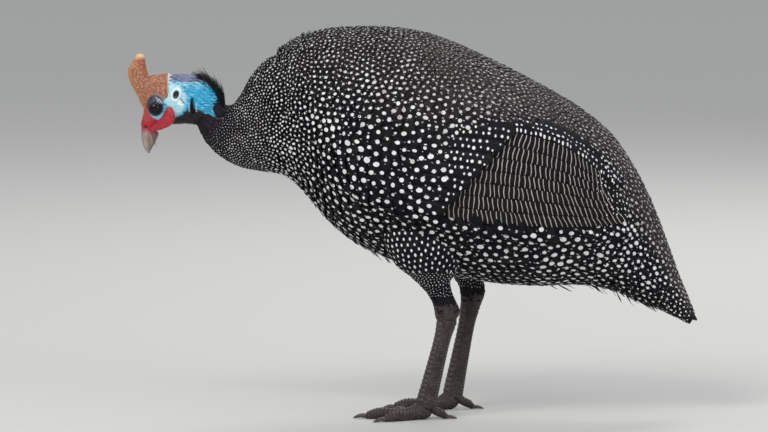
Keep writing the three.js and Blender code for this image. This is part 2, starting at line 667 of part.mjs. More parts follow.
function headSideGrown(side) {
  const [ex, , ez] = eyeCentre(side);
  return [
    skinRing([ex, 0, ez + LID_RISE], 5.4, 6.6, 1.3 + GAP, 11.0, side, 12),
    faceRidge([[-185.0, side * 4.6, 205.0], [-182.2, side * 6.4, 208.4], [-178.2, side * 9.6, 212.2]], [2.0, 2.6, 1.6], 6),
  ];
}

// Legs

function drumstick(leg) {
  const bend = (p) => {
    const f = THREE.MathUtils.clamp((p.z - leg.ankle[1]) / (132 - leg.ankle[1]), 0, 1);
    return leg.side * (leg.footY + (leg.hipY - leg.footY) * f);
  };
  const loft = ribLoft(leg.drumstick, 8, 16, { power: 2.1, bend });
  return largest(loft.subtract(grownBody).subtract(shankOf(leg, GAP)));
}

function shankOf(leg, grow) {
  const steps = SHANK_HALF.length - 1;
  const [ax, az] = leg.ankle;
  const [fx, fz] = leg.foot;
  const rings = SHANK_HALF.map((half, i) => {
    const f = i / steps;
    const centre = new THREE.Vector3(ax + (fx - ax) * f, leg.side * leg.footY, az + (fz - az) * f);
    const along = new THREE.Vector3(fx - ax, 0, fz - az).normalize();
    const ahead = new THREE.Vector3(along.z, 0, -along.x);
    return Array.from({ length: 12 }, (_, j) => {
      const angle = (j / 12) * 2 * Math.PI;
      return centre.clone()
        .addScaledVector(ahead, (SHANK_DEPTH[i] + grow) * Math.cos(angle))
        .add(new THREE.Vector3(0, (half + grow) * Math.sin(angle), 0));
    });
  });
  const first = rings[0].map((p) => p.clone().add(new THREE.Vector3(0.6, 0, 2.5 + grow)));
  const middle = new THREE.Vector3(ax, leg.side * leg.footY, az);
  const capped = first.map((p) => middle.clone().lerp(p, 0.72).add(new THREE.Vector3(0, 0, 1.4)));
  return closedRings([capped, ...rings]);
}

// The broad scutes down the front of the shank, each a curved plate whose lower edge stands out.
function scutesOf(leg) {
  const [ax, az] = leg.ankle;
  const [fx, fz] = leg.foot;
  const along = new THREE.Vector3(fx - ax, 0, fz - az);
  const ahead = new THREE.Vector3(along.z, 0, -along.x).normalize();
  if (ahead.x > 0) ahead.negate();
  const sizeAt = (list, f) => {
    const place = f * (list.length - 1);
    const i = Math.min(Math.floor(place), list.length - 2);
    return list[i] + (list[i + 1] - list[i]) * (place - i);
  };
  return Array.from({ length: SCUTES }, (_, i) => {
    const start = 0.06 + (0.9 * i) / SCUTES;
    const end = start + 0.9 / SCUTES - 0.008;
    const layer = (inner) => [start, end].map((f, k) => [-1, 0, 1].map((v) => {
      const angle = v * 0.95;
      const stand = inner ? -0.9 : 0.12 + 0.55 * k;
      return new THREE.Vector3(ax, leg.side * leg.footY, az)
        .addScaledVector(along, f)
        .addScaledVector(ahead, (sizeAt(SHANK_DEPTH, f) + stand) * Math.cos(angle))
        .add(new THREE.Vector3(0, (sizeAt(SHANK_HALF, f) + stand) * Math.sin(angle), 0));
    }));
    return plate(layer(false), layer(true));
  });
}

// Where along each toe its joints lie, how thick it is there, and how far those of the root are off the floor.
const TOE_JOINTS = [
  { reach: 0.04, share: 1.2, off: 4.5, offHind: 7.5 },
  { reach: 0.2, share: 1.05, off: 1.0, offHind: 5.6 },
  { reach: 0.46, share: 0.94, off: 0, offHind: 3.4 },
  { reach: 0.76, share: 1.0, off: 0, offHind: 1.4 },
  { reach: 1, share: 0.6, off: 0, offHind: 0 },
];
const TOE_FLAT = 0.95; // a toe is this much flatter than it is wide
const TOE_SIDES = 8;

function toePath(leg, toe) {
  const turn = THREE.MathUtils.degToRad(toe.turn * leg.side * -1 + leg.toeTurn);
  const ahead = new THREE.Vector3(-Math.cos(turn), Math.sin(turn), 0);
  const hub = new THREE.Vector3(leg.foot[0], leg.side * leg.footY, 0);
  const underside = TOE_FLAT * Math.cos(Math.PI / TOE_SIDES);
  const points = TOE_JOINTS.map(({ reach, share, off, offHind }) => hub.clone()
    .addScaledVector(ahead, (toe.hind ? 0.12 + 0.88 * reach : reach) * toe.length)
    .setZ(share * toe.half * underside - SOLE + (toe.hind ? offHind : off)));
  return { points, ahead, end: points.at(-1) };
}

function footOf(leg) {
  const toes = TOES.map((toe) => {
    const { points } = toePath(leg, toe);
    return tube(points, TOE_JOINTS.map(({ share }) => share * toe.half), TOE_SIDES, TOE_FLAT);
  });
  const pad = ball(6.2, [leg.foot[0] - 2, leg.side * leg.footY, 5.4], 10, 6);
  const floor = halfSpace([0, 0, 1], 0);
  return largest(union([shankOf(leg, 0), ...scutesOf(leg), ...toes, pad]).intersect(floor));
}

// A claw curves down from the end of its toe to just over the floor.
const CLAW_JOINTS = [
  { reach: 0, radius: 1.7, rise: 0 },
  { reach: 0.33, radius: 1.6, rise: 0.3 },
  { reach: 0.7, radius: 1.2, rise: -0.5 },
  { reach: 1, radius: 0.4, rise: -3 },
];

function clawOf(leg, toe) {
  const { ahead, end } = toePath(leg, toe);
  const size = toe.hind ? 0.8 : 1;
  const clear = toe.hind ? 1.7 : 2 * GAP;
  const points = CLAW_JOINTS.map(({ reach, radius, rise }) => end.clone()
    .addScaledVector(ahead, clear + reach * CLAW_LENGTH * size)
    .setZ(Math.max(end.z + rise, radius * size + 0.25)));
  return tube(points, CLAW_JOINTS.map(({ radius }) => radius * size), 6, 0.95);
}

// Assembly

const materials = new Map();

function addNode(group, name, solid, [colour, roughness]) {
  const key = `${colour}`;
  if (!materials.has(key)) {
    materials.set(key, new THREE.MeshStandardMaterial({ color: colour, roughness, metalness: 0 }));
  }
  const mesh = new THREE.Mesh(geometryOf(solid), materials.get(key));
  mesh.name = name;
  group.add(mesh);
}

const bird = new THREE.Group();
addNode(bird, 'torso', torso, BLACK_PLUMAGE);
addNode(bird, 'neck', neck, BLACK_PLUMAGE);
addNode(bird, 'tail', tail, BLACK_PLUMAGE);
addNode(bird, 'head', head, BLUE_SKIN);
addNode(bird, 'casque', casque, HORN_CASQUE);
addNode(bird, 'bill_upper', billUpper, BILL_HORN);
addNode(bird, 'bill_lower', billLower, BILL_HORN);
for (const [name, side] of [['left', LEFT], ['right', RIGHT]]) {
  addNode(bird, `wing_${name}`, wing(side), BLACK_PLUMAGE);
  addNode(bird, `eye_${name}`, ball(EYE_RADIUS, eyeCentre(side), 12, 8), DARK_EYE);
  addNode(bird, `wattle_${name}`, wattle(side), RED_SKIN);
  const leg = LEGS[name];
  addNode(bird, `drumstick_${name}`, drumstick(leg), BLACK_PLUMAGE);
  addNode(bird, `foot_${name}`, footOf(leg), DARK_SCALE);
  for (const toe of TOES) {
    addNode(bird, `claw_${toe.name}_${name}`, clawOf(leg, toe), CLAW_HORN);
  }
}

export default bird;
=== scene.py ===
"""A life-size helmeted guinea fowl: feathers, bare skin, horn and scaled legs, on a pale studio floor.

Sizes are in millimetres and turned to metres when a mesh is made. The bill points to -X and the bird's
left is -Y.
"""
import math

import bmesh
import bpy
import numpy as np
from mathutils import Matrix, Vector, kdtree
from mathutils.bvhtree import BVHTree

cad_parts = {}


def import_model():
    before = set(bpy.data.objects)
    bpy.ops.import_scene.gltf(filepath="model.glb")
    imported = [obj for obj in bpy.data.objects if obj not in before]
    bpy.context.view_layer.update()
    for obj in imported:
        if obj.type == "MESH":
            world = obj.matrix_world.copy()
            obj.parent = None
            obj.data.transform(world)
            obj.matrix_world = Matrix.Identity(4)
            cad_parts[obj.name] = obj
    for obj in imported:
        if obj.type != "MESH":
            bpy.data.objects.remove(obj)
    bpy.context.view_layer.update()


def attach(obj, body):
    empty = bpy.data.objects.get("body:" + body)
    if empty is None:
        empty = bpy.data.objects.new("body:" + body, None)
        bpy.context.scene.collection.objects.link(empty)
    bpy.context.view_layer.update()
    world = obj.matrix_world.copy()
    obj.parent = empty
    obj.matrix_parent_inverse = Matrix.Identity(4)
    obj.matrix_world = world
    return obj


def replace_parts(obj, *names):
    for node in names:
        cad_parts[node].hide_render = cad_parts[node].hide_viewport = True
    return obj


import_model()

MM = 0.001
LEFT, RIGHT = -1, 1
rng = np.random.default_rng(41)

# Sections from the bill's base round the head, down the neck and along the body to the tail:
# the outline's two points in side view (x, z of the top, x, z of the underside) and half the width.
HEAD_RIBS = [
    (-194.9, 209.0, -184.2, 203.4, 5.0),
    (-194.2, 213.6, -183.9, 204.6, 6.0),
    (-192.9, 220.6, -183.7, 205.8, 7.4),
    (-191.6, 229.0, -183.0, 207.0, 9.0),
    (-187.0, 236.4, -181.6, 208.2, 10.6),
    (-177.7, 244.2, -178.4, 209.6, 12.2),
    (-167.2, 246.0, -173.0, 209.8, 12.8),
    (-156.2, 244.9, -167.0, 210.0, 12.2),
    (-146.9, 240.4, -161.5, 210.2, 11.4),
    (-139.7, 232.8, -157.6, 209.6, 10.6),
    (-136.4, 225.0, -154.8, 208.2, 10.5),
]
BODY_RIBS = [
    (-129.5, 223.5, -148.4, 196.8, 13),
    (-123.0, 232.0, -138.0, 186.4, 17),
    (-115.6, 245.0, -123.2, 178.8, 23),
    (-105.5, 256.0, -106.5, 175.6, 30),
    (-93.0, 266.5, -93.0, 173.0, 38),
    (-80.0, 273.5, -80.0, 163.0, 46),
    (-62.0, 278.5, -62.0, 141.5, 56),
    (-40.0, 280.0, -40.0, 123.5, 65),
    (-15.0, 279.5, -15.0, 112.0, 71),
    (10.0, 275.5, 10.0, 104.0, 74),
    (35.0, 266.5, 35.0, 99.0, 75),
    (63.0, 253.5, 63.0, 95.0, 74),
    (92.0, 238.5, 92.0, 93.5, 69),
    (120.0, 222.0, 120.0, 94.0, 58),
    (142.0, 204.0, 142.0, 90.5, 46),
    (158.0, 182.0, 152.0, 86.5, 37),
    (170.0, 159.0, 160.0, 82.5, 30),
    (178.5, 139.0, 168.0, 79.5, 25),
    (186.0, 118.0, 176.0, 76.5, 21),
    (192.0, 102.0, 184.0, 73.0, 18),
    (197.0, 89.5, 190.5, 70.0, 15),
    (201.0, 79.5, 196.0, 67.0, 12),
    (203.6, 73.4, 199.6, 65.4, 8.5),
]
BODY_POWER = 2.25
WING_EDGES = np.array([  # x, then the wing's lower and upper edge
    (-68, 172, 206),
    (-30, 154, 236),
    (10, 140, 244),
    (55, 131, 236),
    (105, 127, 214),
    (150, 127, 160),
], float)
WING_THICK = 6.0
EYE = np.array([-184.7, 6.6, 221.8])
EYE_RADIUS = 5.4
LID_RIM = dict(centre=(-184.6, 223.7), size=(6.0, 7.6))  # the outer edge of the lids in side view
EYE_SLIT = dict(centre=(-184.8, 221.7), size=(3.45, 2.95))
PER_RIB = 24  # rows of a form's fine table for each section


# Smooth forms through sections

def step(low, high, x):
    """0 below low and 1 above high, smooth between them."""
    f = np.clip((x - low) / (high - low), 0, 1)
    return f * f * (3 - 2 * f)


def mix(a, b, f):
    return a + (b - a) * f


def bump(x, width):
    """1 at 0, falling to about a third at width."""
    return np.exp(-((x / width) ** 2))


def through(rows, per=PER_RIB):
    """A fine table of values on smooth curves through the given rows."""
    rows = np.array(rows, float)
    padded = np.vstack([2 * rows[0] - rows[1], rows, 2 * rows[-1] - rows[-2]])
    f = np.linspace(0, 1, per, endpoint=False)[:, None]
    parts = []
    for i in range(len(rows) - 1):
        a, b, c, d = padded[i:i + 4]
        bend = 2 * a - 5 * b + 4 * c - d
        twist = 3 * b - a - 3 * c + d
        parts.append(0.5 * (2 * b + (c - a) * f + bend * f**2 + twist * f**3))
    return np.vstack([*parts, rows[-1:]])


def angles_round(columns):
    """Angles round a closed form."""
    return np.linspace(-math.pi, math.pi, columns, endpoint=False)


def signed_power(value, power):
    return np.sign(value) * np.abs(value) ** (2 / power)


def unit(v):
    return v / np.maximum(np.linalg.norm(v, axis=-1, keepdims=True), 1e-9)


def body_relief(p):
    """How far the folded wing stands off the flank, less the fold between the neck and the shoulder."""
    x, z = p[..., 0], p[..., 2]
    low = np.interp(x, WING_EDGES[:, 0], WING_EDGES[:, 1])
    high = np.interp(x, WING_EDGES[:, 0], WING_EDGES[:, 2])
    ahead = step(-72, -30, x) * (1 - step(146, 160, x))
    wing = WING_THICK * ahead * step(low - 1, low + 8, z) * (1 - step(high - 22, high + 6, z))
    fold = np.interp(z, [190, 208, 225, 244, 256, 266], [-106, -99, -92, -91, -97, -104])
    return wing - 2.4 * bump(x - fold, 4.5) * step(188, 205, z)


class Form:
    """A closed form through sections. Places on it are s, millimetres along it, and t, the angle round it."""

    def __init__(self, ribs, power, sideways=None, relief=None):
        self.table = through(ribs)
        mid = (self.table[:, 0:2] + self.table[:, 2:4]) / 2
        self.s = np.concatenate([[0], np.cumsum(np.linalg.norm(np.diff(mid, axis=0), axis=1))])
        self.length = self.s[-1]
        self.power = power
        self.sideways = sideways
        self.relief = relief

    def raw(self, s, t):
        s, t = np.broadcast_arrays(np.asarray(s, float), np.asarray(t, float))
        tx, tz, lx, lz, half = (np.interp(s, self.s, self.table[:, k]) for k in range(5))
        c = signed_power(np.cos(t), self.power)
        w = signed_power(np.sin(t), self.power)
        p = np.stack([(tx + lx) / 2 + (tx - lx) / 2 * c, half * w, (tz + lz) / 2 + (tz - lz) / 2 * c], -1)
        if self.sideways is not None:
            p[..., 1] += self.sideways(p)
        return p

    def slopes(self, s, t):
        ds, dt = 0.6, 0.02
        along = (self.raw(s + ds, t) - self.raw(s - ds, t)) / (2 * ds)
        around = (self.raw(s, t + dt) - self.raw(s, t - dt)) / (2 * dt)
        return along, around

    def point(self, s, t, lift=0.0):
        p = self.raw(s, t)
        along, around = self.slopes(s, t)
        out = unit(np.cross(around, along))
        middle = self.raw(s, np.asarray(t) * 0)
        middle = (middle + self.raw(s, np.asarray(t) * 0 + math.pi)) / 2
        out = out * np.sign(np.sum(out * (p - middle), -1, keepdims=True) + 1e-12)
        extra = self.relief(p) if self.relief is not None else 0.0
        return p + out * (np.asarray(lift) + extra)[..., None], out

    def grid(self, rows, columns, end=None):
        """Places on rings from the form's start to its end, or to end millimetres along it."""
        s = np.linspace(0, self.length if end is None else end, rows)
        return np.meshgrid(s, angles_round(columns), indexing="ij")


body = Form(HEAD_RIBS + BODY_RIBS, BODY_POWER, relief=body_relief)
HEAD_END = (len(HEAD_RIBS) - 1) * PER_RIB  # where the feathers of the neck begin
S_HEAD_END = float(body.s[HEAD_END])


def s_at_x(x):
    """Where along the body its middle line passes x, behind the neck."""
    mids = (body.table[:, 0] + body.table[:, 2]) / 2
    return np.interp(x, mids[HEAD_END:], body.s[HEAD_END:])


side_x = np.linspace(-100, 200, 300)
side_s = s_at_x(side_x)


def body_side(x, z, lift, side):
    """A point over the body's flank from its place in side view, with the way out there."""
    def flat(x, z):
        s = np.interp(x, side_x, side_s)
        tz, lz, half = (np.interp(s, body.s, body.table[:, k]) for k in (1, 3, 4))
        u = np.clip(np.abs((z - (tz + lz) / 2) / ((tz - lz) / 2)), 0, 0.985)
        return half * (1 - u**BODY_POWER) ** (1 / BODY_POWER)

    h = 1.2
    y = flat(x, z)
    out = unit(np.stack([
        -(flat(x + h, z) - flat(x - h, z)) / (2 * h),
        np.ones_like(y),
        -(flat(x, z + h) - flat(x, z - h)) / (2 * h),
    ], -1))
    p = np.stack([x, y, z], -1)
    p = p + out * (lift + body_relief(p))[..., None]
    turn = np.array([1, side, 1])
    return p * turn, out * turn


# Meshes from arrays

TUBE_END = 0.02  # the share of its size that a tube's end is drawn in to


def new_object(name, verts, faces, material):
    mesh = bpy.data.meshes.new(name)
    mesh.vertices.add(len(verts))
    mesh.vertices.foreach_set("co", (np.asarray(verts, np.float32) * MM).ravel())
    faces = np.asarray(faces, np.int32)
    mesh.loops.add(faces.size)
    mesh.loops.foreach_set("vertex_index", faces.ravel())
    mesh.polygons.add(len(faces))
    mesh.polygons.foreach_set("loop_start", np.arange(len(faces), dtype=np.int32) * faces.shape[1])
    mesh.polygons.foreach_set("use_smooth", np.full(len(faces), True))
    mesh.update(calc_edges=True)
    obj = bpy.data.objects.new(name, mesh)
    bpy.context.scene.collection.objects.link(obj)
    mesh.materials.append(material)
    return obj


def add_uv(obj, name, per_vertex):
    layer = obj.data.uv_layers.new(name=name)
    index = np.empty(len(obj.data.loops), np.int32)
    obj.data.loops.foreach_get("vertex_index", index)
    layer.data.foreach_set("uv", np.asarray(per_vertex, np.float32)[index].ravel())


def add_colour(obj, name, per_vertex):
    layer = obj.data.attributes.new(name, "FLOAT_COLOR", "POINT")
    rgba = np.ones((len(per_vertex), 4), np.float32)
    rgba[:, :3] = per_vertex
    layer.data.foreach_set("color", rgba.ravel())


def add_value(obj, name, per_vertex):
    layer = obj.data.attributes.new(name, "FLOAT", "POINT")
    layer.data.foreach_set("value", np.asarray(per_vertex, np.float32).ravel())


def shell_faces(rows, columns):
    """Quads of a closed plate: an upper grid, then an under grid, and the rim between them."""
    top = np.arange(rows * columns).reshape(rows, columns)
    under = top + rows * columns
    quads = []
    for i in range(rows - 1):
        for j in range(columns - 1):
            quads.append((top[i, j], top[i, j + 1], top[i + 1, j + 1], top[i + 1, j]))
            quads.append((under[i, j], under[i + 1, j], under[i + 1, j + 1], under[i, j + 1]))
    for i in range(rows - 1):
        quads.append((top[i, 0], top[i + 1, 0], under[i + 1, 0], under[i, 0]))
        quads.append((top[i, -1], under[i, -1], under[i + 1, -1], top[i + 1, -1]))
    for j in range(columns - 1):
        quads.append((top[0, j], under[0, j], under[0, j + 1], top[0, j + 1]))
        quads.append((top[-1, j], top[-1, j + 1], under[-1, j + 1], under[-1, j]))
    return np.array(quads, np.int64)


def plates_object(name, upper, under, bake, material, tone=None, local=None):
    """Many closed plates as one object. upper and under are (plates, rows, columns, 3)."""
    count, rows, columns = upper.shape[:3]
    tone = np.zeros(count) if tone is None else tone
    local = np.zeros((count, rows, columns, 2)) if local is None else local
    verts = np.stack([upper, under], 1).reshape(count, -1, 3)
    each = verts.shape[1]
    faces = shell_faces(rows, columns)[None] + (np.arange(count) * each)[:, None, None]
    obj = new_object(name, verts.reshape(-1, 3), faces.reshape(-1, 4), material)
    spread = np.stack(np.meshgrid(np.linspace(0, 0.003, columns), np.linspace(0, 0.003, rows)), -1)
    patch = bake[:, None, None, None, :] + spread[None, None]
    add_uv(obj, "OFBake", np.broadcast_to(patch, (count, 2, rows, columns, 2)).reshape(-1, 2))
    add_uv(obj, "Vane", np.broadcast_to(local[:, None], (count, 2, rows, columns, 2)).reshape(-1, 2))
    add_value(obj, "tone", np.repeat(tone, each))
    return obj


def vertices_of(obj):
    flat = np.empty(len(obj.data.vertices) * 3, np.float32)
    obj.data.vertices.foreach_get("co", flat)
    return flat.reshape(-1, 3) / MM


def quads_of(obj):
    index = np.empty(len(obj.data.loops), np.int32)
    obj.data.loops.foreach_get("vertex_index", index)
    return index.reshape(-1, 4)


def surface_of(objects):
    """A search tree over the meshes of some pieces, in millimetres."""
    verts, faces, start = [], [], 0
    for obj in objects:
        verts += vertices_of(obj).tolist()
        faces += (quads_of(obj) + start).tolist()
        start += len(obj.data.vertices)
    return BVHTree.FromPolygons(verts, faces)


def grid_faces(rows, columns):
    """Quads of a tube of rings."""
    a = np.arange(rows * columns).reshape(rows, columns)
    b = np.roll(a, -1, axis=1)
    return np.stack([a[:-1], a[1:], b[1:], b[:-1]], -1).reshape(-1, 4)


def outward(obj):
    """Turns a closed mesh's faces to point out."""
    work = bmesh.new()
    work.from_mesh(obj.data)
    bmesh.ops.recalc_face_normals(work, faces=work.faces)
    work.to_mesh(obj.data)
    work.free()
    return obj


def ring_object(name, rings, material):
    """A tube from (rings, places, 3), its two ends drawn in to their middles."""
    first = rings[0].mean(0, keepdims=True) + (rings[0] - rings[0].mean(0)) * TUBE_END
    last = rings[-1].mean(0, keepdims=True) + (rings[-1] - rings[-1].mean(0)) * TUBE_END
    rings = np.concatenate([first[None], rings, last[None]])
    count, places = rings.shape[:2]
    faces = grid_faces(count, places)
    obj = new_object(name, rings.reshape(-1, 3), faces, material)
    v = np.repeat(np.linspace(0.02, 0.98, count), places)
    u = np.tile(np.linspace(0.02, 0.98, places), count)
    add_uv(obj, "OFBake", np.stack([u, v], -1))
    return outward(obj)


# Materials

WHITE, NONE = (1, 1, 1), (0, 0, 0)  # the ends of a mask


def shader(name, roughness=0.6, specular=0.4):
    material = bpy.data.materials.new(name)
    material.use_nodes = True
    tree = material.node_tree
    principled = tree.nodes["Principled BSDF"]
    principled.inputs["Roughness"].default_value = roughness
    principled.inputs["Specular IOR Level"].default_value = specular
    return material, tree, principled


def node(tree, kind, settings=None, **values):
    made = tree.nodes.new(kind)
    for key, value in (settings or {}).items():
        setattr(made, key, value)
    for key, value in values.items():
        made.inputs[key.replace("_", " ")].default_value = value
    return made


def link(tree, a, b):
    tree.links.new(a, b)


def cells(tree, scale, feature="F1"):
    """How far each place is from the middle of its round cell, or from the cell's edge."""
    coords = node(tree, "ShaderNodeTexCoord")
    made = node(tree, "ShaderNodeTexVoronoi", {"feature": feature}, Scale=scale)
    link(tree, coords.outputs["Object"], made.inputs["Vector"])
    return made.outputs["Distance"]


def noise(tree, scale, detail=4.0, rough=0.6, stretch=(1, 1, 1)):
    coords = node(tree, "ShaderNodeTexCoord")
    mapping = node(tree, "ShaderNodeMapping")
    mapping.inputs["Scale"].default_value = stretch
    link(tree, coords.outputs["Object"], mapping.inputs["Vector"])
    made = node(tree, "ShaderNodeTexNoise", Scale=scale, Detail=detail, Roughness=rough)
    link(tree, mapping.outputs["Vector"], made.inputs["Vector"])
    return made.outputs["Fac"]


def ramp(tree, source, stops):
    made = node(tree, "ShaderNodeValToRGB")
    elements = made.color_ramp.elements
    while len(elements) < len(stops):
        elements.new(0.5)
    for element, (place, colour) in zip(elements, stops):
        element.position = place
        element.color = (*colour, 1) if len(colour) == 3 else colour
    link(tree, source, made.inputs["Fac"])
    return made.outputs["Color"]


def blend(tree, factor, a, b, mode="MIX"):
    made = node(tree, "ShaderNodeMix", {"data_type": "RGBA", "blend_type": mode})
    for source, key in ((factor, 0), (a, 6), (b, 7)):
        if hasattr(source, "is_linked"):
            link(tree, source, made.inputs[key])
        elif key == 0:
            made.inputs[0].default_value = source
        else:
            made.inputs[key].default_value = (*source, 1)
    return made.outputs[2]


def maths(tree, operation, a, b=None):
    made = node(tree, "ShaderNodeMath", {"operation": operation})
    for source, key in ((a, 0), (b, 1)):
        if source is None:
            continue
        if hasattr(source, "is_linked"):
            link(tree, source, made.inputs[key])
        else:
            made.inputs[key].default_value = source
    return made.outputs[0]


def times(tree, a, b):
    return maths(tree, "MULTIPLY", a, b)


def bumped(tree, principled, height, strength, distance):
    made = node(tree, "ShaderNodeBump", Strength=strength, Distance=distance)
    link(tree, height, made.inputs["Height"])
    link(tree, made.outputs["Normal"], principled.inputs["Normal"])


def vane_lines(tree):
    """Fine barbs that slant from a feather's shaft to its edges, from the feather's own sizes."""
    uv = node(tree, "ShaderNodeUVMap", {"uv_map": "Vane"})
    split = node(tree, "ShaderNodeSeparateXYZ")
    link(tree, uv.outputs["UV"], split.inputs["Vector"])
    away = maths(tree, "ABSOLUTE", split.outputs["X"])
    slant = maths(tree, "SUBTRACT", split.outputs["Y"], times(tree, away, 1.1))
    wave = maths(tree, "SINE", times(tree, slant, 9.0))
    shaft = maths(tree, "LESS_THAN", away, 0.22)
    return wave, shaft


def attribute(tree, name, output="Fac"):
    return node(tree, "ShaderNodeAttribute", {"attribute_name": name}).outputs[output]


def plumage(name, dark, grey, brown, cover):
    """Black feather stippled with grey, more where its tone is high; cover is the least share of grey."""
    material, tree, principled = shader(name, 0.8, 0.10)
    wave, shaft = vane_lines(tree)
    tone = attribute(tree, "tone")
    base = blend(tree, tone, dark, brown)
    fine = noise(tree, 1300, 3.0, 0.75)
    level = maths(tree, "ADD", fine, times(tree, tone, 0.13))
    speck = times(tree, maths(tree, "SUBTRACT", level, 0.67 - cover), 12.0)
    speck = maths(tree, "MINIMUM", maths(tree, "MAXIMUM", speck, 0.0), 1.0)
    colour = blend(tree, speck, base, grey)
    hair = times(tree, maths(tree, "GREATER_THAN", wave, 0.8), 0.12)
    colour = blend(tree, hair, colour, grey)
    colour = blend(tree, times(tree, shaft, 0.2), colour, grey)
    link(tree, colour, principled.inputs["Base Color"])
    bumped(tree, principled, wave, 0.35, 0.0002)
    return material


def plain(name, colour, roughness, spread, scale, bump_mm=0.0):
    """One colour, uneven by spread of itself in patches."""
    material, tree, principled = shader(name, roughness, 0.4)
    fine = noise(tree, scale, 5.0, 0.65)
    darker = tuple(c * (1 - spread) for c in colour)
    lighter = tuple(min(c * (1 + spread), 1) for c in colour)
    link(tree, ramp(tree, fine, [(0.3, darker), (0.7, lighter)]), principled.inputs["Base Color"])
    if bump_mm:
        bumped(tree, principled, fine, 0.6, bump_mm * MM)
    return material


def pearl_material():
    """Spots: white where their tone is 0, grey where it is 1."""
    material, tree, principled = shader("pearl_white", 0.75, 0.2)
    colour = blend(tree, attribute(tree, "tone"), (0.80, 0.80, 0.82), (0.36, 0.33, 0.33))
    link(tree, colour, principled.inputs["Base Color"])
    return material


BLACK = (0.0050, 0.0052, 0.0085)
GREY = (0.115, 0.105, 0.11)
BROWN = (0.030, 0.023, 0.021)
COAT = plumage("plumage_spotted", BLACK, GREY, BROWN, 0.02)
PANEL = plumage("plumage_flight", (0.007, 0.006, 0.0065), (0.06, 0.055, 0.053), (0.016, 0.012, 0.011), 0.0)
SHORT = plumage("plumage_neck", (0.008, 0.007, 0.010), (0.085, 0.08, 0.09), (0.022, 0.018, 0.021), 0.0)
PEARL = pearl_material()
BAR = plain("bar_white", (0.36, 0.34, 0.33), 0.8, 0.45, 700)
HAIR = plain("plume_black", (0.006, 0.006, 0.008), 0.5, 0.3, 900)


def skin_material():
    """Painted skin: streaked where it is bare, and with white spots where feathers cover it."""
    material, tree, principled = shader("bare_skin", 0.5, 0.4)
    colour = attribute(tree, "paint", "Color")
    streak = attribute(tree, "streaks")
    fine = noise(tree, 900, 5.0, 0.7, (0.5, 1, 1.4))
    pale = ramp(tree, fine, [(0.56, NONE), (0.66, WHITE)])
    dark = ramp(tree, fine, [(0.34, WHITE), (0.44, NONE)])
    colour = blend(tree, times(tree, pale, times(tree, streak, 0.35)), colour, (0.52, 0.83, 0.92))
    colour = blend(tree, times(tree, dark, times(tree, streak, 0.5)), colour, (0.004, 0.12, 0.24))
    spots = ramp(tree, cells(tree, 190), [(0.22, WHITE), (0.28, NONE)])
    colour = blend(tree, times(tree, spots, attribute(tree, "spotted")), colour, (0.60, 0.62, 0.66))
    link(tree, colour, principled.inputs["Base Color"])
    bumped(tree, principled, fine, 0.6, 0.0004)
    principled.inputs["Subsurface Weight"].default_value = 0.05
    principled.inputs["Subsurface Radius"].default_value = (0.002, 0.001, 0.001)
    return material


def lid_material():
    """Slate skin of the lids, painted along its folds."""
    material, tree, principled = shader("eyelid_slate", 0.42, 0.5)
    link(tree, attribute(tree, "paint", "Color"), principled.inputs["Base Color"])
    bumped(tree, principled, noise(tree, 1500, 3.0, 0.6), 0.4, 0.0002)
    return material


def red_material():
    """The red skin of the wattles."""
    material, tree, principled = shader("red_skin", 0.45, 0.5)
    fine = noise(tree, 700, 5.0, 0.6)
    colour = ramp(tree, fine, [(0.3, (0.24, 0.008, 0.018)), (0.6, (0.47, 0.020, 0.038))])
    link(tree, colour, principled.inputs["Base Color"])
    bumped(tree, principled, fine, 0.5, 0.0004)
    principled.inputs["Subsurface Weight"].default_value = 0.08
    principled.inputs["Subsurface Radius"].default_value = (0.003, 0.001, 0.001)
    return material


def horn_material():
    """Rough horn: brown with pale and dark flecks, over the tint that "rim" marks."""
    material, tree, principled = shader("casque_horn", 0.78, 0.25)
    tint = attribute(tree, "rim", "Color")
    mottle = attribute(tree, "mottle")
    fine = noise(tree, 950, 6.0, 0.75)
    dark = ramp(tree, fine, [(0.36, WHITE), (0.47, NONE)])
    pale = ramp(tree, fine, [(0.52, NONE), (0.62, WHITE)])
    colour = blend(tree, times(tree, dark, times(tree, mottle, 0.85)), tint, (0.10, 0.034, 0.018))
    colour = blend(tree, times(tree, pale, times(tree, mottle, 0.75)), colour, (0.74, 0.50, 0.38))
    link(tree, colour, principled.inputs["Base Color"])
    bumped(tree, principled, fine, 0.9, 0.0007)
    return material


def scaled_skin(name, colour, scale):
    """Skin of small round scales, darker in the furrows between them."""
    material, tree, principled = shader(name, 0.55, 0.35)
    furrow = cells(tree, scale, "DISTANCE_TO_EDGE")
    dark, light = tuple(c * 0.35 for c in colour), tuple(c * 1.25 for c in colour)
    tint = ramp(tree, furrow, [(0.0, dark), (0.12, colour), (0.5, light)])
    blotch = ramp(tree, noise(tree, 130, 4.0, 0.6), [(0.35, (0.55, 0.55, 0.6)), (0.65, (1.35, 1.3, 1.45))])
    link(tree, blend(tree, 1.0, tint, blotch, "MULTIPLY"), principled.inputs["Base Color"])
    bumped(tree, principled, ramp(tree, furrow, [(0.0, NONE), (0.25, WHITE)]), 0.7, 0.0004)
    return material


SKIN = skin_material()
RED = red_material()
CASQUE = horn_material()
LID = lid_material()
SCALE = scaled_skin("leg_scales", (0.050, 0.037, 0.034), 430)
SCUTE = plain("leg_scutes", (0.060, 0.046, 0.044), 0.45, 0.35, 300, 0.25)
CLAW = plain("claw_horn", (0.075, 0.058, 0.05), 0.4, 0.3, 500, 0.1)


# Skin: one surface from the bill's base to the tail, which lies under the coat where it is feathered

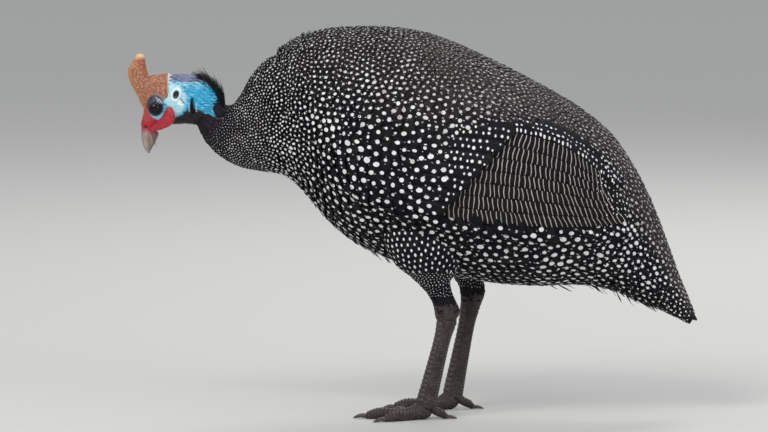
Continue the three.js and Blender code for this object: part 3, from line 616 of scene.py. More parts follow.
def paint_mask(p, points, soft):
    """1 inside a polygon in side view and 0 outside it, blended over soft millimetres at its edge."""
    pts = np.array(points, float)
    x, z = p[..., 0], p[..., 2]
    inside = np.zeros(x.shape, bool)
    near = np.full(x.shape, 1e9)
    for (x1, z1), (x2, z2) in zip(pts, np.roll(pts, -1, axis=0)):
        crosses = ((z1 > z) != (z2 > z)) & (x < (x2 - x1) * (z - z1) / (z2 - z1 + 1e-12) + x1)
        inside ^= crosses
        dx, dz = x2 - x1, z2 - z1
        f = np.clip(((x - x1) * dx + (z - z1) * dz) / (dx * dx + dz * dz), 0, 1)
        near = np.minimum(near, np.hypot(x - x1 - f * dx, z - z1 - f * dz))
    signed = np.where(inside, near, -near)
    return step(-soft, soft, signed)


def wobble(p, scale, seed):
    """A smooth uneven value from -1 to 1 at each point."""
    q = p / scale
    gen = np.random.default_rng(seed)
    total = np.zeros(p.shape[:-1])
    for k in range(6):
        way = gen.normal(0, 1, 3)
        total += np.sin(q @ way * (1 + 0.35 * k) + gen.uniform(0, 6.28)) / (1 + 0.4 * k)
    return total / 3


def folds(p):
    """The short, broken wrinkles of the bare neck: from -1 in the furrows to 1 on the ridges."""
    slope = p[..., 2] + 0.12 * p[..., 0] + 1.1 * wobble(p, 2.2, 24)
    lines = np.sin(2.9 * slope + 2.2 * wobble(p, 4.0, 21))
    breaks = wobble(p * np.array([0.62, 0.9, 1.0]), 0.95, 22)
    return np.clip((0.35 + 0.45 * wobble(p, 1.8, 25)) * lines + 0.85 * breaks, -1, 1)


def ear_distance(p):
    """1 at the rim of the ear's opening, which leans back at its top."""
    x, z = p[..., 0] + 169.6 - 0.16 * (p[..., 2] - 231.7), p[..., 2] - 231.7
    return np.hypot(x / 2.3, z / 3.2)


def slot_distance(p):
    """Millimetres from the short slanted slot before the ear."""
    x, z = p[..., 0] + 165.2, p[..., 2] - 227.2
    return np.hypot(np.clip(np.abs(x) - 1.2, 0, None), z + 1.15 * x)


def nostril_distance(p):
    return np.hypot(p[..., 0] + 191.3, (p[..., 2] - 207.6) / 1.9)


def lid_distance(p):
    """1 at the outer edge of the lids."""
    (x, z), (wide, high) = LID_RIM["centre"], LID_RIM["size"]
    return np.hypot((p[..., 0] - x) / wide, (p[..., 2] - z) / high)


def head_relief(p):
    """Folds, hollows and rims of the bare head, in millimetres off its smooth form."""
    x, z = p[..., 0], p[..., 2]
    eye = np.hypot(x - EYE[0], z - EYE[2])
    out = -2.2 * (1 - step(3.6, 5.6, eye))
    ear = ear_distance(p)
    out += 0.75 * bump(ear - 1.25, 0.35) - 2.4 * (1 - step(0.35, 1.0, ear))
    crease = np.hypot(np.clip(np.abs(z - 223) - 5, 0, None), (x + 157.6) + 0.10 * (z - 223))
    out -= 1.5 * bump(crease, 1.0)
    out += 0.6 * bump(crease - 2.0, 1.0) * step(215, 219, z)
    out -= 0.8 * bump(slot_distance(p), 0.8)
    cere = np.hypot((x + 192.4) / 1.6, (z - 209.2) / 2.4)
    out += 1.3 * bump(cere, 1.8)
    out -= 1.6 * bump(nostril_distance(p), 0.75)
    blue = step(-175, -166, x) * step(214, 217, z)
    crown = step(239.5, 241, z)
    lumps = 0.28 * wobble(p, 2.0, 31)
    return out + 0.36 * folds(p) * blue * (1 - 0.5 * crown) + lumps * (1 - blue)


def coat_depth(s, half):
    """How deep the skin lies under the coat, at s along the body and where it is half so wide."""
    depth = 4.6 * step(S_HEAD_END - 6, S_HEAD_END + 60, s) + 0.9 * step(S_HEAD_END - 8, S_HEAD_END, s)
    return np.minimum(depth, 0.4 * half)


PALE = (0.56, 0.83, 0.88)
CYAN = (0.012, 0.36, 0.62)
VIOLET = (0.135, 0.125, 0.235)
INK = (0.005, 0.005, 0.007)
CRIMSON = (0.42, 0.013, 0.032)
MAUVE = (0.30, 0.16, 0.125)
PAINTED_FURROW_SHADE = (0.004, 0.13, 0.26)
SLATE = (0.030, 0.034, 0.055)
EAR_RIM = (0.82, 0.92, 0.92)
# Patches of the head and neck in side view
THROAT = [
    (-171.2, 214.6), (-165.4, 217.0), (-160.8, 221.8), (-158.5, 229.4), (-157.4, 229.4), (-156.6, 222.0),
    (-151.0, 219.6), (-147.6, 217.0), (-145.4, 214.8), (-143.4, 214.2), (-140.6, 216.2), (-138.2, 219.6),
    (-137.2, 225), (-128, 224), (-126, 200), (-150, 192), (-178, 204), (-173, 208.5),
]
NAPE = [
    (-157, 252), (-152.4, 245.0), (-148.6, 242.2), (-142.9, 237.8), (-139.6, 231.3), (-137.2, 224.5),
    (-130, 220), (-124, 246), (-140, 258),
]
BLUE_END = [
    (-150, 224), (-137.9, 225), (-137.4, 221.5), (-138.0, 218.6), (-139.8, 217.2), (-141.6, 215.4),
    (-143.6, 214.6), (-145.2, 215.2), (-146.8, 216.8), (-148.4, 218.8),
]
CHEEK = [
    (-178, 239.5), (-167, 238.5), (-162.6, 232), (-162, 226), (-165, 219.5), (-170, 215), (-174, 222),
    (-180, 229),
]
SLOT_SHINE = [(-168.9, 228.4), (-166.4, 228.0), (-164.2, 224.2), (-165.6, 222.8), (-168.6, 225)]
CROWN = [
    (-176, 252), (-148, 252), (-148, 242.0), (-153, 240.8), (-160, 240.2), (-167, 240.6), (-172, 241.4),
    (-176, 241),
]
CROWN_EDGE = [(-174.9, 247), (-172.9, 247), (-173.4, 240), (-174.9, 238)]
FOREHEAD = [(-198, 240), (-174.8, 249), (-174.8, 233), (-189, 232.4), (-193, 222), (-198, 222)]
BROW = [
    (-200, 223), (-193, 224.5), (-190, 233.6), (-177.6, 232.6), (-176.8, 228.8), (-179.4, 226.4),
    (-184.6, 232), (-190.6, 226), (-191.4, 218.8), (-196, 217),
]
CERE = [
    (-200, 219.6), (-192.5, 219.0), (-190.2, 216.9), (-186.4, 214.6), (-180.6, 212.6), (-177, 214.5),
    (-172.5, 213), (-178, 198), (-200, 198),
]
GAPE = [
    (-187.0, 216.6), (-183.4, 213.6), (-178.2, 213.2), (-176.6, 217.8), (-178, 220.5), (-180.2, 217.4),
    (-184, 216.0),
]
BILL_BASE = [
    (-196, 227), (-189.9, 226.5), (-190.2, 220.0), (-188.2, 216.8), (-186.6, 215), (-190, 212), (-196, 214),
]


def head_paint(p):
    """Colours of the bare head and neck, each laid over the ones before it, with painted shade and highlights
    on its folds, slot, ear and nostril.
    """
    x, z = p[..., 0], p[..., 2]
    fold = folds(p)
    colour = np.broadcast_to(np.array(CYAN), p.shape).copy()

    def lay(mask, tint):
        colour[:] = mix(colour, np.array(tint), mask[..., None])

    lay(0.35 * step(235, 240, z), PALE)
    cheek = paint_mask(p, CHEEK, 1.6)
    lay(0.75 * cheek, PALE)
    # Painted highlight on the ridges of the folds, and painted shade in their furrows.
    lay(0.55 * step(0.3, 0.75, fold), (0.42, 0.78, 0.90))
    lay(0.85 * (1 - step(-0.75, -0.25, fold)) * (1 - 0.75 * cheek), PAINTED_FURROW_SHADE)
    lay(0.5 * bump(wobble(p, 2.6, 33) - 0.9, 0.3) * cheek, (0.10, 0.38, 0.42))
    # The slot before the ear: a painted highlight beside it, and painted shade in its hollow.
    lay(0.95 * paint_mask(p, SLOT_SHINE, 0.5), (0.80, 0.92, 0.92))
    lay(0.9 * bump(slot_distance(p), 0.75), (0.01, 0.13, 0.20))
    crown = paint_mask(p, CROWN, 0.7)
    lay(0.92 * crown, VIOLET)
    # On the crown as well: painted highlight on the fold ridges, and painted shade in the furrows.
    lay(0.55 * crown * step(0.1, 0.7, fold), (0.30, 0.27, 0.40))
    lay(0.6 * crown * (1 - step(-0.7, -0.1, fold)), (0.035, 0.035, 0.085))
    lay(0.8 * paint_mask(p, CROWN_EDGE, 0.5) * step(-0.3, 0.3, fold), PALE)
    lay(paint_mask(p, THROAT, 0.7), INK)
    lay(paint_mask(p, NAPE, 0.9), INK)
    for edge in (-160.3, -155.0):
        rim = np.hypot(np.clip(np.abs(z - 222.8) - 3, 0, None), x - edge)
        lay(0.7 * bump(rim, 0.45), (0.45, 0.72, 0.75))
    lay(0.95 * paint_mask(p, FOREHEAD, 0.5), MAUVE)
    lay(paint_mask(p, BROW, 0.7), MAUVE)
    lay(paint_mask(p, CERE, 0.6), CRIMSON)
    blotch = bump(wobble(p, 2.2, 35) - 0.8, 0.35)
    lay(0.6 * blotch * (1 - step(212, 216, z)) * (x < -176), (0.22, 0.006, 0.018))
    lay(paint_mask(p, GAPE, 0.5), (0.22, 0.55, 0.68))
    lay(paint_mask(p, BILL_BASE, 0.6), (0.40, 0.05, 0.045))
    lay(1 - step(0.92, 1.05, lid_distance(p)), SLATE)
    ear = ear_distance(p)
    lay(0.95 * bump(ear - 1.32, 0.30), EAR_RIM)
    # Painted shade: the ear's opening is darkened as a hole.
    lay(1 - step(0.75, 1.05, ear), (0.045, 0.030, 0.035))
    lay(0.6 * bump(ear, 0.3), (0.16, 0.07, 0.07))
    # Painted shade: the nostril is darkened as a hole.
    lay(0.9 * bump(nostril_distance(p), 0.8), (0.03, 0.004, 0.006))
    return colour


def make_skin():
    """One closed skin, finely made on the bare head and neck and coarser under the coat."""
    fine = np.linspace(0, S_HEAD_END + 4, 320)
    s = np.concatenate([fine, np.linspace(S_HEAD_END + 6, body.length - 6, 70)])
    columns = 240
    grid_s, grid_t = np.meshgrid(s, angles_round(columns), indexing="ij")
    half = np.interp(grid_s, body.s, body.table[:, 4])
    p, out = body.point(grid_s, grid_t, -coat_depth(grid_s, half))
    blue_end = paint_mask(p, BLUE_END, 1.0) * (grid_s < S_HEAD_END + 30)
    bare = np.maximum(1 - step(S_HEAD_END - 6, S_HEAD_END + 6, grid_s), blue_end)
    paint = head_paint(p)
    ground = mix(np.array(BLACK), np.array(BROWN), greyness(p)[..., None])
    p = p + out * (head_relief(p) * bare)[..., None]
    obj = ring_object("skin", p, SKIN)

    def with_ends(rows):
        return np.concatenate([rows[:1], rows, rows[-1:]])

    bare = with_ends(bare).reshape(-1, 1)
    ground, paint = with_ends(ground).reshape(-1, 3), with_ends(paint).reshape(-1, 3)
    add_colour(obj, "paint", mix(ground, paint, bare))
    add_value(obj, "spotted", with_ends(step(S_HEAD_END + 16, S_HEAD_END + 40, grid_s)).ravel())
    q = vertices_of(obj)
    streaks = bare[:, 0] * step(-175, -170, q[:, 0])
    add_value(obj, "streaks", streaks * (1 - paint_mask(q, THROAT, 1)) * (1 - paint_mask(q, NAPE, 1)))
    # The head takes most of the bake's room, the hidden body the rest
    behind = 0.8 + 0.2 * (s - S_HEAD_END - 5) / (body.length - S_HEAD_END)
    v = np.where(s < S_HEAD_END + 5, 0.8 * s / (S_HEAD_END + 5), behind)
    v = np.concatenate([[0.0], v, [1.0]])
    u = np.tile(np.linspace(0, 1 - 1 / columns, columns), len(v))
    obj.data.uv_layers.remove(obj.data.uv_layers["OFBake"])
    add_uv(obj, "OFBake", np.stack([u, np.repeat(v * 0.98 + 0.01, columns)], -1))
    return obj


# Coat: feathers that follow the body's lie

# A body feather's outline: stations along it, its share of the full width there, and places across it
STATIONS = np.array([0, 0.25, 0.5, 0.68, 0.82, 0.93, 1.0])
SHARES = np.array([0.28, 0.66, 0.95, 1.0, 0.90, 0.62, 0.20])
COLUMNS = np.array([-1, -0.5, 0, 0.5, 1])
FEATHER_TRIANGLES = 136
PIECE_TRIANGLES = 190000
FEATHER_THICK = 0.16
SPOT_SIDES = 10
SPOT_STAND = 0.09  # how far a spot or a bar stands off its feather


def nearness_tree(p):
    """A tree that finds the points near a place."""
    tree = kdtree.KDTree(len(p))
    for i, place in enumerate(p.tolist()):
        tree.insert(place, i)
    tree.balance()
    return tree


def scatter(form, s_from, s_to, spacing, rounds=8):
    """Places s, t spread evenly over a form, each about spacing(p) millimetres from its neighbours."""
    s = rng.uniform(s_from, s_to, 400000)
    t = rng.uniform(-math.pi, math.pi, len(s))
    p = form.raw(s, t)
    along, around = form.slopes(s, t)
    want = np.linalg.norm(np.cross(along, around), axis=-1) / spacing(p) ** 2
    chosen = np.flatnonzero(rng.uniform(0, np.percentile(want, 99.5), len(s)) < want)
    s, t, p = s[chosen], t[chosen], p[chosen]
    reach = spacing(p) * 0.76
    tree = nearness_tree(p)
    free = bytearray(b"\x01") * len(p)
    kept = []
    for i, place in enumerate(p.tolist()):
        if free[i]:
            kept.append(i)
            for _, j, _ in tree.find_range(place, reach[i]):
                free[j] = 0
    s, t = s[kept], t[kept]
    for _ in range(rounds):
        p = form.raw(s, t)
        gap = spacing(p)
        tree = nearness_tree(p)
        near = np.array([[j for _, j, _ in tree.find_n(place, 7)][1:] for place in p.tolist()])
        away = p[:, None] - p[near]
        far = np.linalg.norm(away, axis=-1, keepdims=True) + 1e-6
        push = np.sum(away / far * np.clip(1.2 - far / gap[:, None, None], 0, 1), 1) * gap[:, None] * 0.3
        along, around = form.slopes(s, t)
        s = np.clip(s + np.sum(push * along, -1) / np.sum(along**2, -1), s_from, s_to)
        t = t + np.sum(push * around, -1) / np.sum(around**2, -1)
    return s, t


class Feathers:
    """A set of feathers on a form: roots at s and t, sizes in millimetres, yaw in radians."""

    def __init__(self, form, s, t, length, width, yaw, depth, raise_tip):
        self.form = form
        self.s, self.t = s, t
        self.length, self.width, self.yaw = length, width, yaw
        self.depth, self.raise_tip = depth, raise_tip
        along, around = form.slopes(s + length * 0.5, t)
        self.per_s = np.linalg.norm(along, axis=-1)
        self.per_t = np.maximum(np.linalg.norm(around, axis=-1), 2.0)
        self.roll = rng.normal(0, 0.10, len(s))

    def subset(self, keep):
        other = object.__new__(Feathers)
        other.__dict__.update(self.__dict__)
        for key in ("s", "t", "length", "width", "yaw", "depth", "raise_tip", "per_s", "per_t", "roll"):
            setattr(other, key, getattr(self, key)[keep])
        return other

    def lay(self, u, v, over=0.0):
        """Points over each feather, u along and v across it in millimetres; arrays of (feathers, ...)."""
        shape = (len(self.s),) + (1,) * (u.ndim - 1)

        def get(a):
            return a.reshape(shape)

        c, w = np.cos(get(self.yaw)), np.sin(get(self.yaw))
        s = get(self.s) + (u * c - v * w) / get(self.per_s)
        t = get(self.t) + (u * w + v * c) / get(self.per_t)
        f = np.clip(u / get(self.length), 0, 1)
        across = v / (get(self.width) / 2)
        lift = -(get(self.depth) + 0.5) * (1 - f) ** 1.35 + get(self.raise_tip) * f
        lift = lift - 0.2 * across**2 * f + get(self.roll) * across * f + over
        return self.form.point(s, t, lift)

    def meshes(self, name, material, tone):
        """The feathers as closed plates, in as many pieces as keep each under PIECE_TRIANGLES."""
        made = []
        room = PIECE_TRIANGLES // FEATHER_TRIANGLES
        for k, start in enumerate(range(0, len(self.s), room)):
            part = np.arange(start, min(start + room, len(self.s)))
            some = self.subset(part)
            u = some.length[:, None, None] * STATIONS[None, :, None] * np.ones((1, 1, len(COLUMNS)))
            v = some.width[:, None, None] / 2 * SHARES[None, :, None] * COLUMNS[None, None, :]
            ragged = rng.normal(0, 0.018, u.shape) * (STATIONS[None, :, None] > 0.6)
            u = u * (1 + ragged)
            upper, _ = some.lay(u, v, FEATHER_THICK / 2)
            under, _ = some.lay(u, v, -FEATHER_THICK / 2)
            bake = np.stack([some.t / (2 * math.pi) + 0.5, some.s / some.form.length], -1) % 1.0
            local = np.stack([v, u], -1)
            bake = np.clip(bake, 0, 0.996)
            made.append(plates_object(f"{name}_{k}", upper, under, bake, material, tone[part], local))
        return made


# White spots of the coat: x and z of a place in side view, then the spots' spacing, their width and
# their length as a share of it
SPOT_PLAN = np.array([
    (-135, 210, 2.2, 0.55, 1.0),  # neck
    (-115, 220, 2.2, 0.85, 1.2),
    (-120, 190, 2.2, 0.85, 1.3),
    (-91, 244, 3.3, 1.25, 1.2),  # shoulder
    (-85, 264, 3.0, 1.1, 1.2),
    (-91, 208, 3.3, 1.3, 1.3),
    (-81, 188, 4.2, 1.9, 1.2),
    (-43, 274, 3.5, 1.15, 1.2),  # back
    (-19, 262, 4.1, 1.35, 1.2),
    (17, 262, 3.6, 1.1, 1.2),
    (103, 218, 3.8, 1.1, 1.3),
    (127, 192, 4.2, 1.5, 1.3),
    (-55, 249, 4.7, 1.9, 1.1),  # side of the shoulder
    (-31, 234, 5.2, 2.3, 1.1),
    (-1, 247, 4.8, 2.0, 1.1),
    (11, 215, 6.3, 2.6, 1.1),
    (-61, 214, 5.8, 2.5, 1.1),
    (-41, 190, 8.0, 3.6, 1.1),
    (-19, 208, 6.8, 2.8, 1.1),
    (-1, 186, 6.8, 2.9, 1.1),
    (-67, 178, 5.8, 2.5, 1.2),  # breast
    (-50, 150, 6.4, 2.3, 1.45),
    (-19, 122, 6.8, 2.2, 1.5),
    (3, 108, 6.0, 1.6, 1.7),
    (32, 132, 6.6, 2.7, 1.2),  # flank
    (56, 123, 7.3, 3.0, 1.15),
    (103, 121, 7.3, 3.3, 1.1),
    (68, 104, 5.6, 1.5, 1.7),
    (127, 99, 5.8, 2.3, 1.3),
    (151, 126, 5.4, 2.5, 1.15),
    (157, 162, 4.4, 1.6, 1.2),  # rump and tail
    (163, 97, 5.0, 2.1, 1.2),
    (181, 126, 4.5, 1.7, 1.2),
    (187, 85, 4.0, 1.5, 1.2),
    (199, 75, 3.2, 1.1, 1.2),
])


def spot_plan(p):
    """Spacing, width and length share of the spots at points of the body."""
    off = (p[..., None, 0] - SPOT_PLAN[:, 0]) ** 2 + (p[..., None, 2] - SPOT_PLAN[:, 1]) ** 2
    weight = 1 / (off + 30) ** 2
    return weight @ SPOT_PLAN[:, 2:] / weight.sum(-1)[..., None]


def spot_spacing(p):
    return spot_plan(p)[..., 0]


def feather_spacing(p):
    return np.clip(1.32 * spot_spacing(p), 2.7, 8.2)


def inside(x, z, points):
    """Whether places in side view lie in a patch."""
    return paint_mask(np.stack([x, x, z], -1), points, 0.01) > 0.5


# The flank that the long feathers of the wing cover: without body spots, and without body feathers
WING_PATCH = [
    (29, 208), (50, 212), (68, 214), (90, 216), (101, 213), (114.4, 206.5), (123, 200.5), (133, 190.5),
    (137, 183), (140, 172), (144, 160), (147, 149), (145, 143), (112, 142), (90, 142), (57, 144),
    (40, 146.5), (24, 150), (18, 153), (22, 170), (27, 190),
]
UNDER_WING = [
    (26, 208), (46, 213), (68, 213), (90, 211.5), (101, 208.5), (114, 202), (123, 196), (134, 186),
    (141, 177), (143, 168), (145, 156), (142, 141), (112, 139.5), (60, 141.5), (38, 145.5), (18, 151),
    (16, 160),
]


def greyness(p):
    """1 on the brownish grey back, less on the neck, and 0 on the black flanks and belly."""
    x = p[..., 0]
    s = s_at_x(x)
    top = np.interp(s, body.s, body.table[:, 1])
    low = np.interp(s, body.s, body.table[:, 3])
    height = (p[..., 2] - low) / (top - low)
    back = step(0.45, 0.98, height) * mix(0.45, 1.0, step(-50, 40, x))
    return np.where(x < -100, 0.45, back)


def body_feathers():
    """The coat from the neck to the tail, and a place near each feather's tip."""
    s, t = scatter(body, S_HEAD_END - 4, s_at_x(196), feather_spacing)
    p = body.raw(s, t)
    pitch = feather_spacing(p)
    length = 2.7 * pitch + 2.0
    half = np.interp(s, body.s, body.table[:, 4])
    _, out = body.point(s, t)
    # The lie turns down over the shoulder and the flank
    ahead = step(-90, -20, p[:, 0])
    droop = 0.22 * ahead * np.abs(out[:, 1]) * step(120, 190, p[:, 2]) * (1 - step(150, 170, p[:, 0]))
    yaw = droop * np.sign(np.sin(t)) + rng.normal(0, 0.07, len(s))
    width = 2.0 * pitch * rng.normal(1, 0.05, len(s))
    lift = 0.22 + rng.normal(0, 0.09, len(s))
    feathers = Feathers(body, s, t, length, width, yaw, coat_depth(s, half), lift)
    tips = feathers.lay(length[:, None] * 0.9, length[:, None] * 0)[0][:, 0]
    return feathers, tips


def dress_body():
    feathers, tips = body_feathers()
    shown = ~inside(tips[:, 0], tips[:, 2], UNDER_WING) & ~inside(tips[:, 0], tips[:, 2], BLUE_END)
    starts = body.raw(feathers.s, feathers.t)
    shown &= ~inside(starts[:, 0], starts[:, 2], BLUE_END)
    neck = feathers.s < S_HEAD_END + 44
    tone = np.clip(greyness(tips) + rng.normal(0, 0.10, len(tips)), 0, 1)
    made = []
    for name, region, material in (("neck_feathers", neck, SHORT), ("body_feathers", ~neck, COAT)):
        some = shown & region
        made += feathers.subset(some).meshes(name, material, tone[some])
    return made


def spot_rims(centre, normal, along, width, share, drape):
    """Rings of points round each spot, laid by drape on the feathers under them, and each spot's middle."""
    across = unit(np.cross(normal, along))
    along = np.cross(across, normal)
    turn = np.linspace(0, 2 * math.pi, SPOT_SIDES, endpoint=False)
    rim = (centre[:, None]
           + along[:, None] * (width * share / 2)[:, None, None] * np.cos(turn)[None, :, None]
           + across[:, None] * (width / 2)[:, None, None] * np.sin(turn)[None, :, None])
    rim = drape(rim, normal)
    rise = np.sum((rim - centre[:, None]) * normal[:, None], -1).mean(1)
    return np.concatenate([(centre + normal * (np.maximum(rise, 0) + 0.06)[:, None])[:, None], rim], 1)


def scatter_spots(form, s, t, width, share, tree, yaw):
    """Spots where lines from outside the form meet its feathers."""
    p, out = form.point(s, t, 9.0 + 0 * s)
    along, _ = form.slopes(s, t)
    hits, normals, chosen = [], [], []
    for i, (place, way) in enumerate(zip(p.tolist(), (-out).tolist())):
        hit, normal, _, _ = tree.ray_cast(place, way, 16)
        if hit is not None and abs(normal @ Vector(way)) > 0.75:
            hits.append(hit[:])
            normals.append(normal[:])
            chosen.append(i)
    hits, normals, out = np.array(hits), np.array(normals), out[chosen]
    normals = unit(normals * np.sign(np.sum(normals * out, -1, keepdims=True)) + 0.6 * out)
    along = unit(unit(along[chosen]) + np.cross(out, unit(along[chosen])) * yaw[chosen, None])

    def drape(rim, normal):
        height = np.full(rim.shape[:2], -0.1)
        for i in range(len(rim)):
            start = rim[i] + normal[i] * 1.0
            down = (-normal[i]).tolist()
            for j, place in enumerate(start.tolist()):
                hit, _, _, far = tree.ray_cast(place, down, 1.6)
                if hit is not None:
                    height[i, j] = 1.0 - far
        height = np.maximum(height, np.maximum(np.roll(height, 1, 1), np.roll(height, -1, 1)))
        height = np.maximum(height, height.mean(1, keepdims=True) - 0.15)
        return rim + normal[:, None] * (height + SPOT_STAND)[..., None]

    return spot_rims(hits + normals * SPOT_STAND, normals, along, width[chosen], share[chosen], drape)


def spots_object(name, rims, tone):
    """Spots as fans from their middles; left and right sides take one half of the bake each."""
    count, points = rims.shape[:2]
    rim = np.arange(1, points)
    fan = np.stack([np.zeros(points - 1, int), rim, np.roll(rim, -1)], -1)
    faces = fan[None] + (np.arange(count) * points)[:, None, None]
    obj = new_object(name, rims.reshape(-1, 3), faces.reshape(-1, 3), PEARL)
    middle = rims[:, 0]
    up = (middle[:, 2] + 20) / 320 * 0.49 + 0.5 * (middle[:, 1] > 0)
    place = np.stack([(middle[:, 0] + 200) / 420, up], -1)
    add_uv(obj, "OFBake", np.repeat(np.clip(place, 0, 0.99), points, axis=0))
    add_value(obj, "tone", np.repeat(tone, points))
    return obj


def body_spots(tree):
    """The round white spots of the body, greyer on the back."""
    s, t = scatter(body, S_HEAD_END + 6, s_at_x(199), spot_spacing, 10)
    p = body.raw(s, t)
    plan = spot_plan(p)
    shown = ~inside(p[:, 0], p[:, 2], WING_PATCH)
    s, t, p, plan = s[shown], t[shown], p[shown], plan[shown]
    width = plan[:, 1] * rng.normal(1, 0.17, len(s)) * step(S_HEAD_END + 2, S_HEAD_END + 14, s)
    yaw = rng.normal(0, 0.25, len(s)) - 0.15 * np.sign(np.sin(t))
    rims = scatter_spots(body, s, t, width, plan[:, 2] * rng.normal(1, 0.14, len(s)), tree, yaw)
    tone = np.clip(greyness(rims[:, 0]) * 0.9 + rng.normal(0.05, 0.16, len(rims)), 0, 1)
    return spots_object("white_spots", rims, tone)


def fine_spots(tree):
    """Specks between the round spots, greyer than they are."""
    s, t = scatter(body, S_HEAD_END + 60, s_at_x(199), lambda p: 0.86 * spot_spacing(p), 4)
    p = body.raw(s, t)
    shown = ~inside(p[:, 0], p[:, 2], WING_PATCH)
    s, t, p = s[shown], t[shown], p[shown]
    width = np.clip(0.30 * spot_plan(p)[:, 1], 0.35, 0.8) * rng.uniform(0.7, 1.3, len(s))
    rims = scatter_spots(body, s, t, width, rng.uniform(1.2, 2.4, len(s)), tree, rng.normal(0, 0.5, len(s)))
    return spots_object("fine_spots", rims, np.clip(rng.normal(0.75, 0.2, len(rims)), 0, 1))


def row_spots(lay, k, along_mm, across_mm, length, width, share, over):
    """A row of spots along one vane."""
    along_mm = along_mm[rng.uniform(0, 1, len(along_mm)) > 0.05]
    u = (along_mm + rng.normal(0, 0.4, len(along_mm))) / length
    v = across_mm + rng.normal(0, 0.35, len(u))
    centre, normal = lay(k, u, v, over)
    ahead, _ = lay(k, u + 1 / length, v, over)
    side, _ = lay(k, u, v + 1, over)
    facing = unit(np.cross(ahead - centre, side - centre))
    facing *= np.sign(np.sum(facing * normal, -1, keepdims=True))
    size = width * rng.normal(1, 0.16, len(u))
    share = share * rng.normal(1, 0.15, len(u))
    return spot_rims(centre, facing, unit(ahead - centre), size, share, lambda rim, _: rim)


# Flight feathers, and the white bars across them

VANE = 0.32  # thickness of a long feather
CAMBER = 0.35  # how far its middle stands over its edges
SECONDARIES = 7
BAR_PITCH = 3.3
# Tiers of long feathers over the flight feathers. Of the first and the last one of a tier: the root and tip
# in side view, the bow and where the spots start along it. Of all: width, and lift at root and tip.
# Each row of spots: how far off the shaft, pitch, width, and length as a share of the width.
TIERS = {
    "tertials": dict(
        count=1, roots=[(28, 214), (28, 214)], tips=[(150, 169), (150, 169)], bow=(17.3, 17.3),
        start=(30, 30), width=15, lift=(-2.2, 2.0),
        rows=[(-5.4, 3.3, 3.4, 0.42), (-1.6, 3.7, 1.8, 1.0), (2.2, 3.5, 1.45, 1.0)],
    ),
    "greater_coverts": dict(
        count=7, roots=[(-8, 214), (-18, 165)], tips=[(71, 207), (25, 158)], bow=(3, 1),
        start=(37, 40), width=14, lift=(-3.0, 1.7),
        rows=[(-4.6, 4.4, 2.3, 0.8), (-0.4, 4.6, 2.0, 0.8)],
    ),
}


def side_vanes(roots, tips, widths, lifts, bows, side, tilt):
    """Long vanes that lie on the flank: lay(k, u, v, over), with u from 0 to 1 and v in millimetres."""
    roots, tips = np.array(roots, float), np.array(tips, float)
    along = tips - roots
    across = np.stack([-along[:, 1], along[:, 0]], -1) / np.linalg.norm(along, axis=1)[:, None]

    def lay(k, u, v, over=0.0):
        u, v = np.broadcast_arrays(np.asarray(u, float), np.asarray(v, float))
        arch = bows[k] * 4 * u * (1 - u)
        x = roots[k, 0] + along[k, 0] * u + across[k, 0] * (v + arch)
        z = roots[k, 1] + along[k, 1] * u + across[k, 1] * (v + arch)
        lift = lifts[k][0] + (lifts[k][1] - lifts[k][0]) * u**0.8 - tilt * v / (widths[k] / 2) + over
        return body_side(x, z, lift, side)

    return lay, np.linalg.norm(along, axis=1)


def over_vane(v, width):
    """How high a spot or a bar at v lies over the middle of a vane so wide."""
    return VANE / 2 + CAMBER * (1 - (v / (width / 2)) ** 2) + SPOT_STAND


def long_vane_object(name, lay, lengths, widths, material, bakes, tone, rows):
    """Long feathers with full vanes and rounded tips."""
    columns = 9
    u = np.linspace(0, 1, rows)
    end = np.where(u < 0.86, 1, np.sqrt(np.clip(1 - ((u - 0.86) / 0.145) ** 2, 0.02, 1)))
    share = np.minimum(0.5 + u * 2.5, 1) * end
    v = np.linspace(-1, 1, columns)
    upper, under, local = [], [], []
    for k, length in enumerate(lengths):
        across = widths[k] / 2 * share[:, None] * v[None, :]
        along = u[:, None] * np.ones((1, columns))
        camber = CAMBER * (1 - v[None, :] ** 2) * np.ones((rows, 1))
        upper.append(lay(k, along, across, VANE / 2 + camber)[0])
        under.append(lay(k, along, across, -VANE / 2 + camber)[0])
        local.append(np.stack([across, along * length], -1))
    return plates_object(name, np.array(upper), np.array(under), bakes, material, tone, np.array(local))


def strips_object(name, centres, material):
    """Flat ribbons, each a list of pairs of points: (strips, pairs, 2, 3)."""
    centres = np.array(centres)
    count, pairs = centres.shape[:2]
    a = np.arange(pairs * 2).reshape(pairs, 2)
    quads = np.stack([a[:-1, 0], a[1:, 0], a[1:, 1], a[:-1, 1]], -1)
    faces = quads[None] + (np.arange(count) * pairs * 2)[:, None, None]
    obj = new_object(name, centres.reshape(-1, 3), faces.reshape(-1, 4), material)
    places = np.random.default_rng(3).uniform(0.1, 0.9, (count, 1, 2))
    add_uv(obj, "OFBake", places.repeat(pairs * 2, 1).reshape(-1, 2))
    return obj


def tier_vanes(tier, side):
    """The feathers of one tier, spaced evenly from its first to its last."""
    f = np.linspace(0, 1, tier["count"])[:, None]
    roots, tips = (mix(*np.array(tier[key], float)[:, None], f) for key in ("roots", "tips"))
    widths = np.full(tier["count"], float(tier["width"]))
    lifts = [(tier["lift"][0], tier["lift"][1] - 0.3 * k) for k in f[:, 0]]
    lay, lengths = side_vanes(roots, tips, widths, lifts, mix(*tier["bow"], f[:, 0]), side, 0.75)
    return lay, lengths, widths


def vane_bakes(count, from_s, side):
    """Places of long side feathers on the unwrap of the body."""
    f = np.linspace(0, 1, count)
    return np.stack([0.5 + side * (0.2 + 0.12 * f), np.full(count, from_s)], -1)


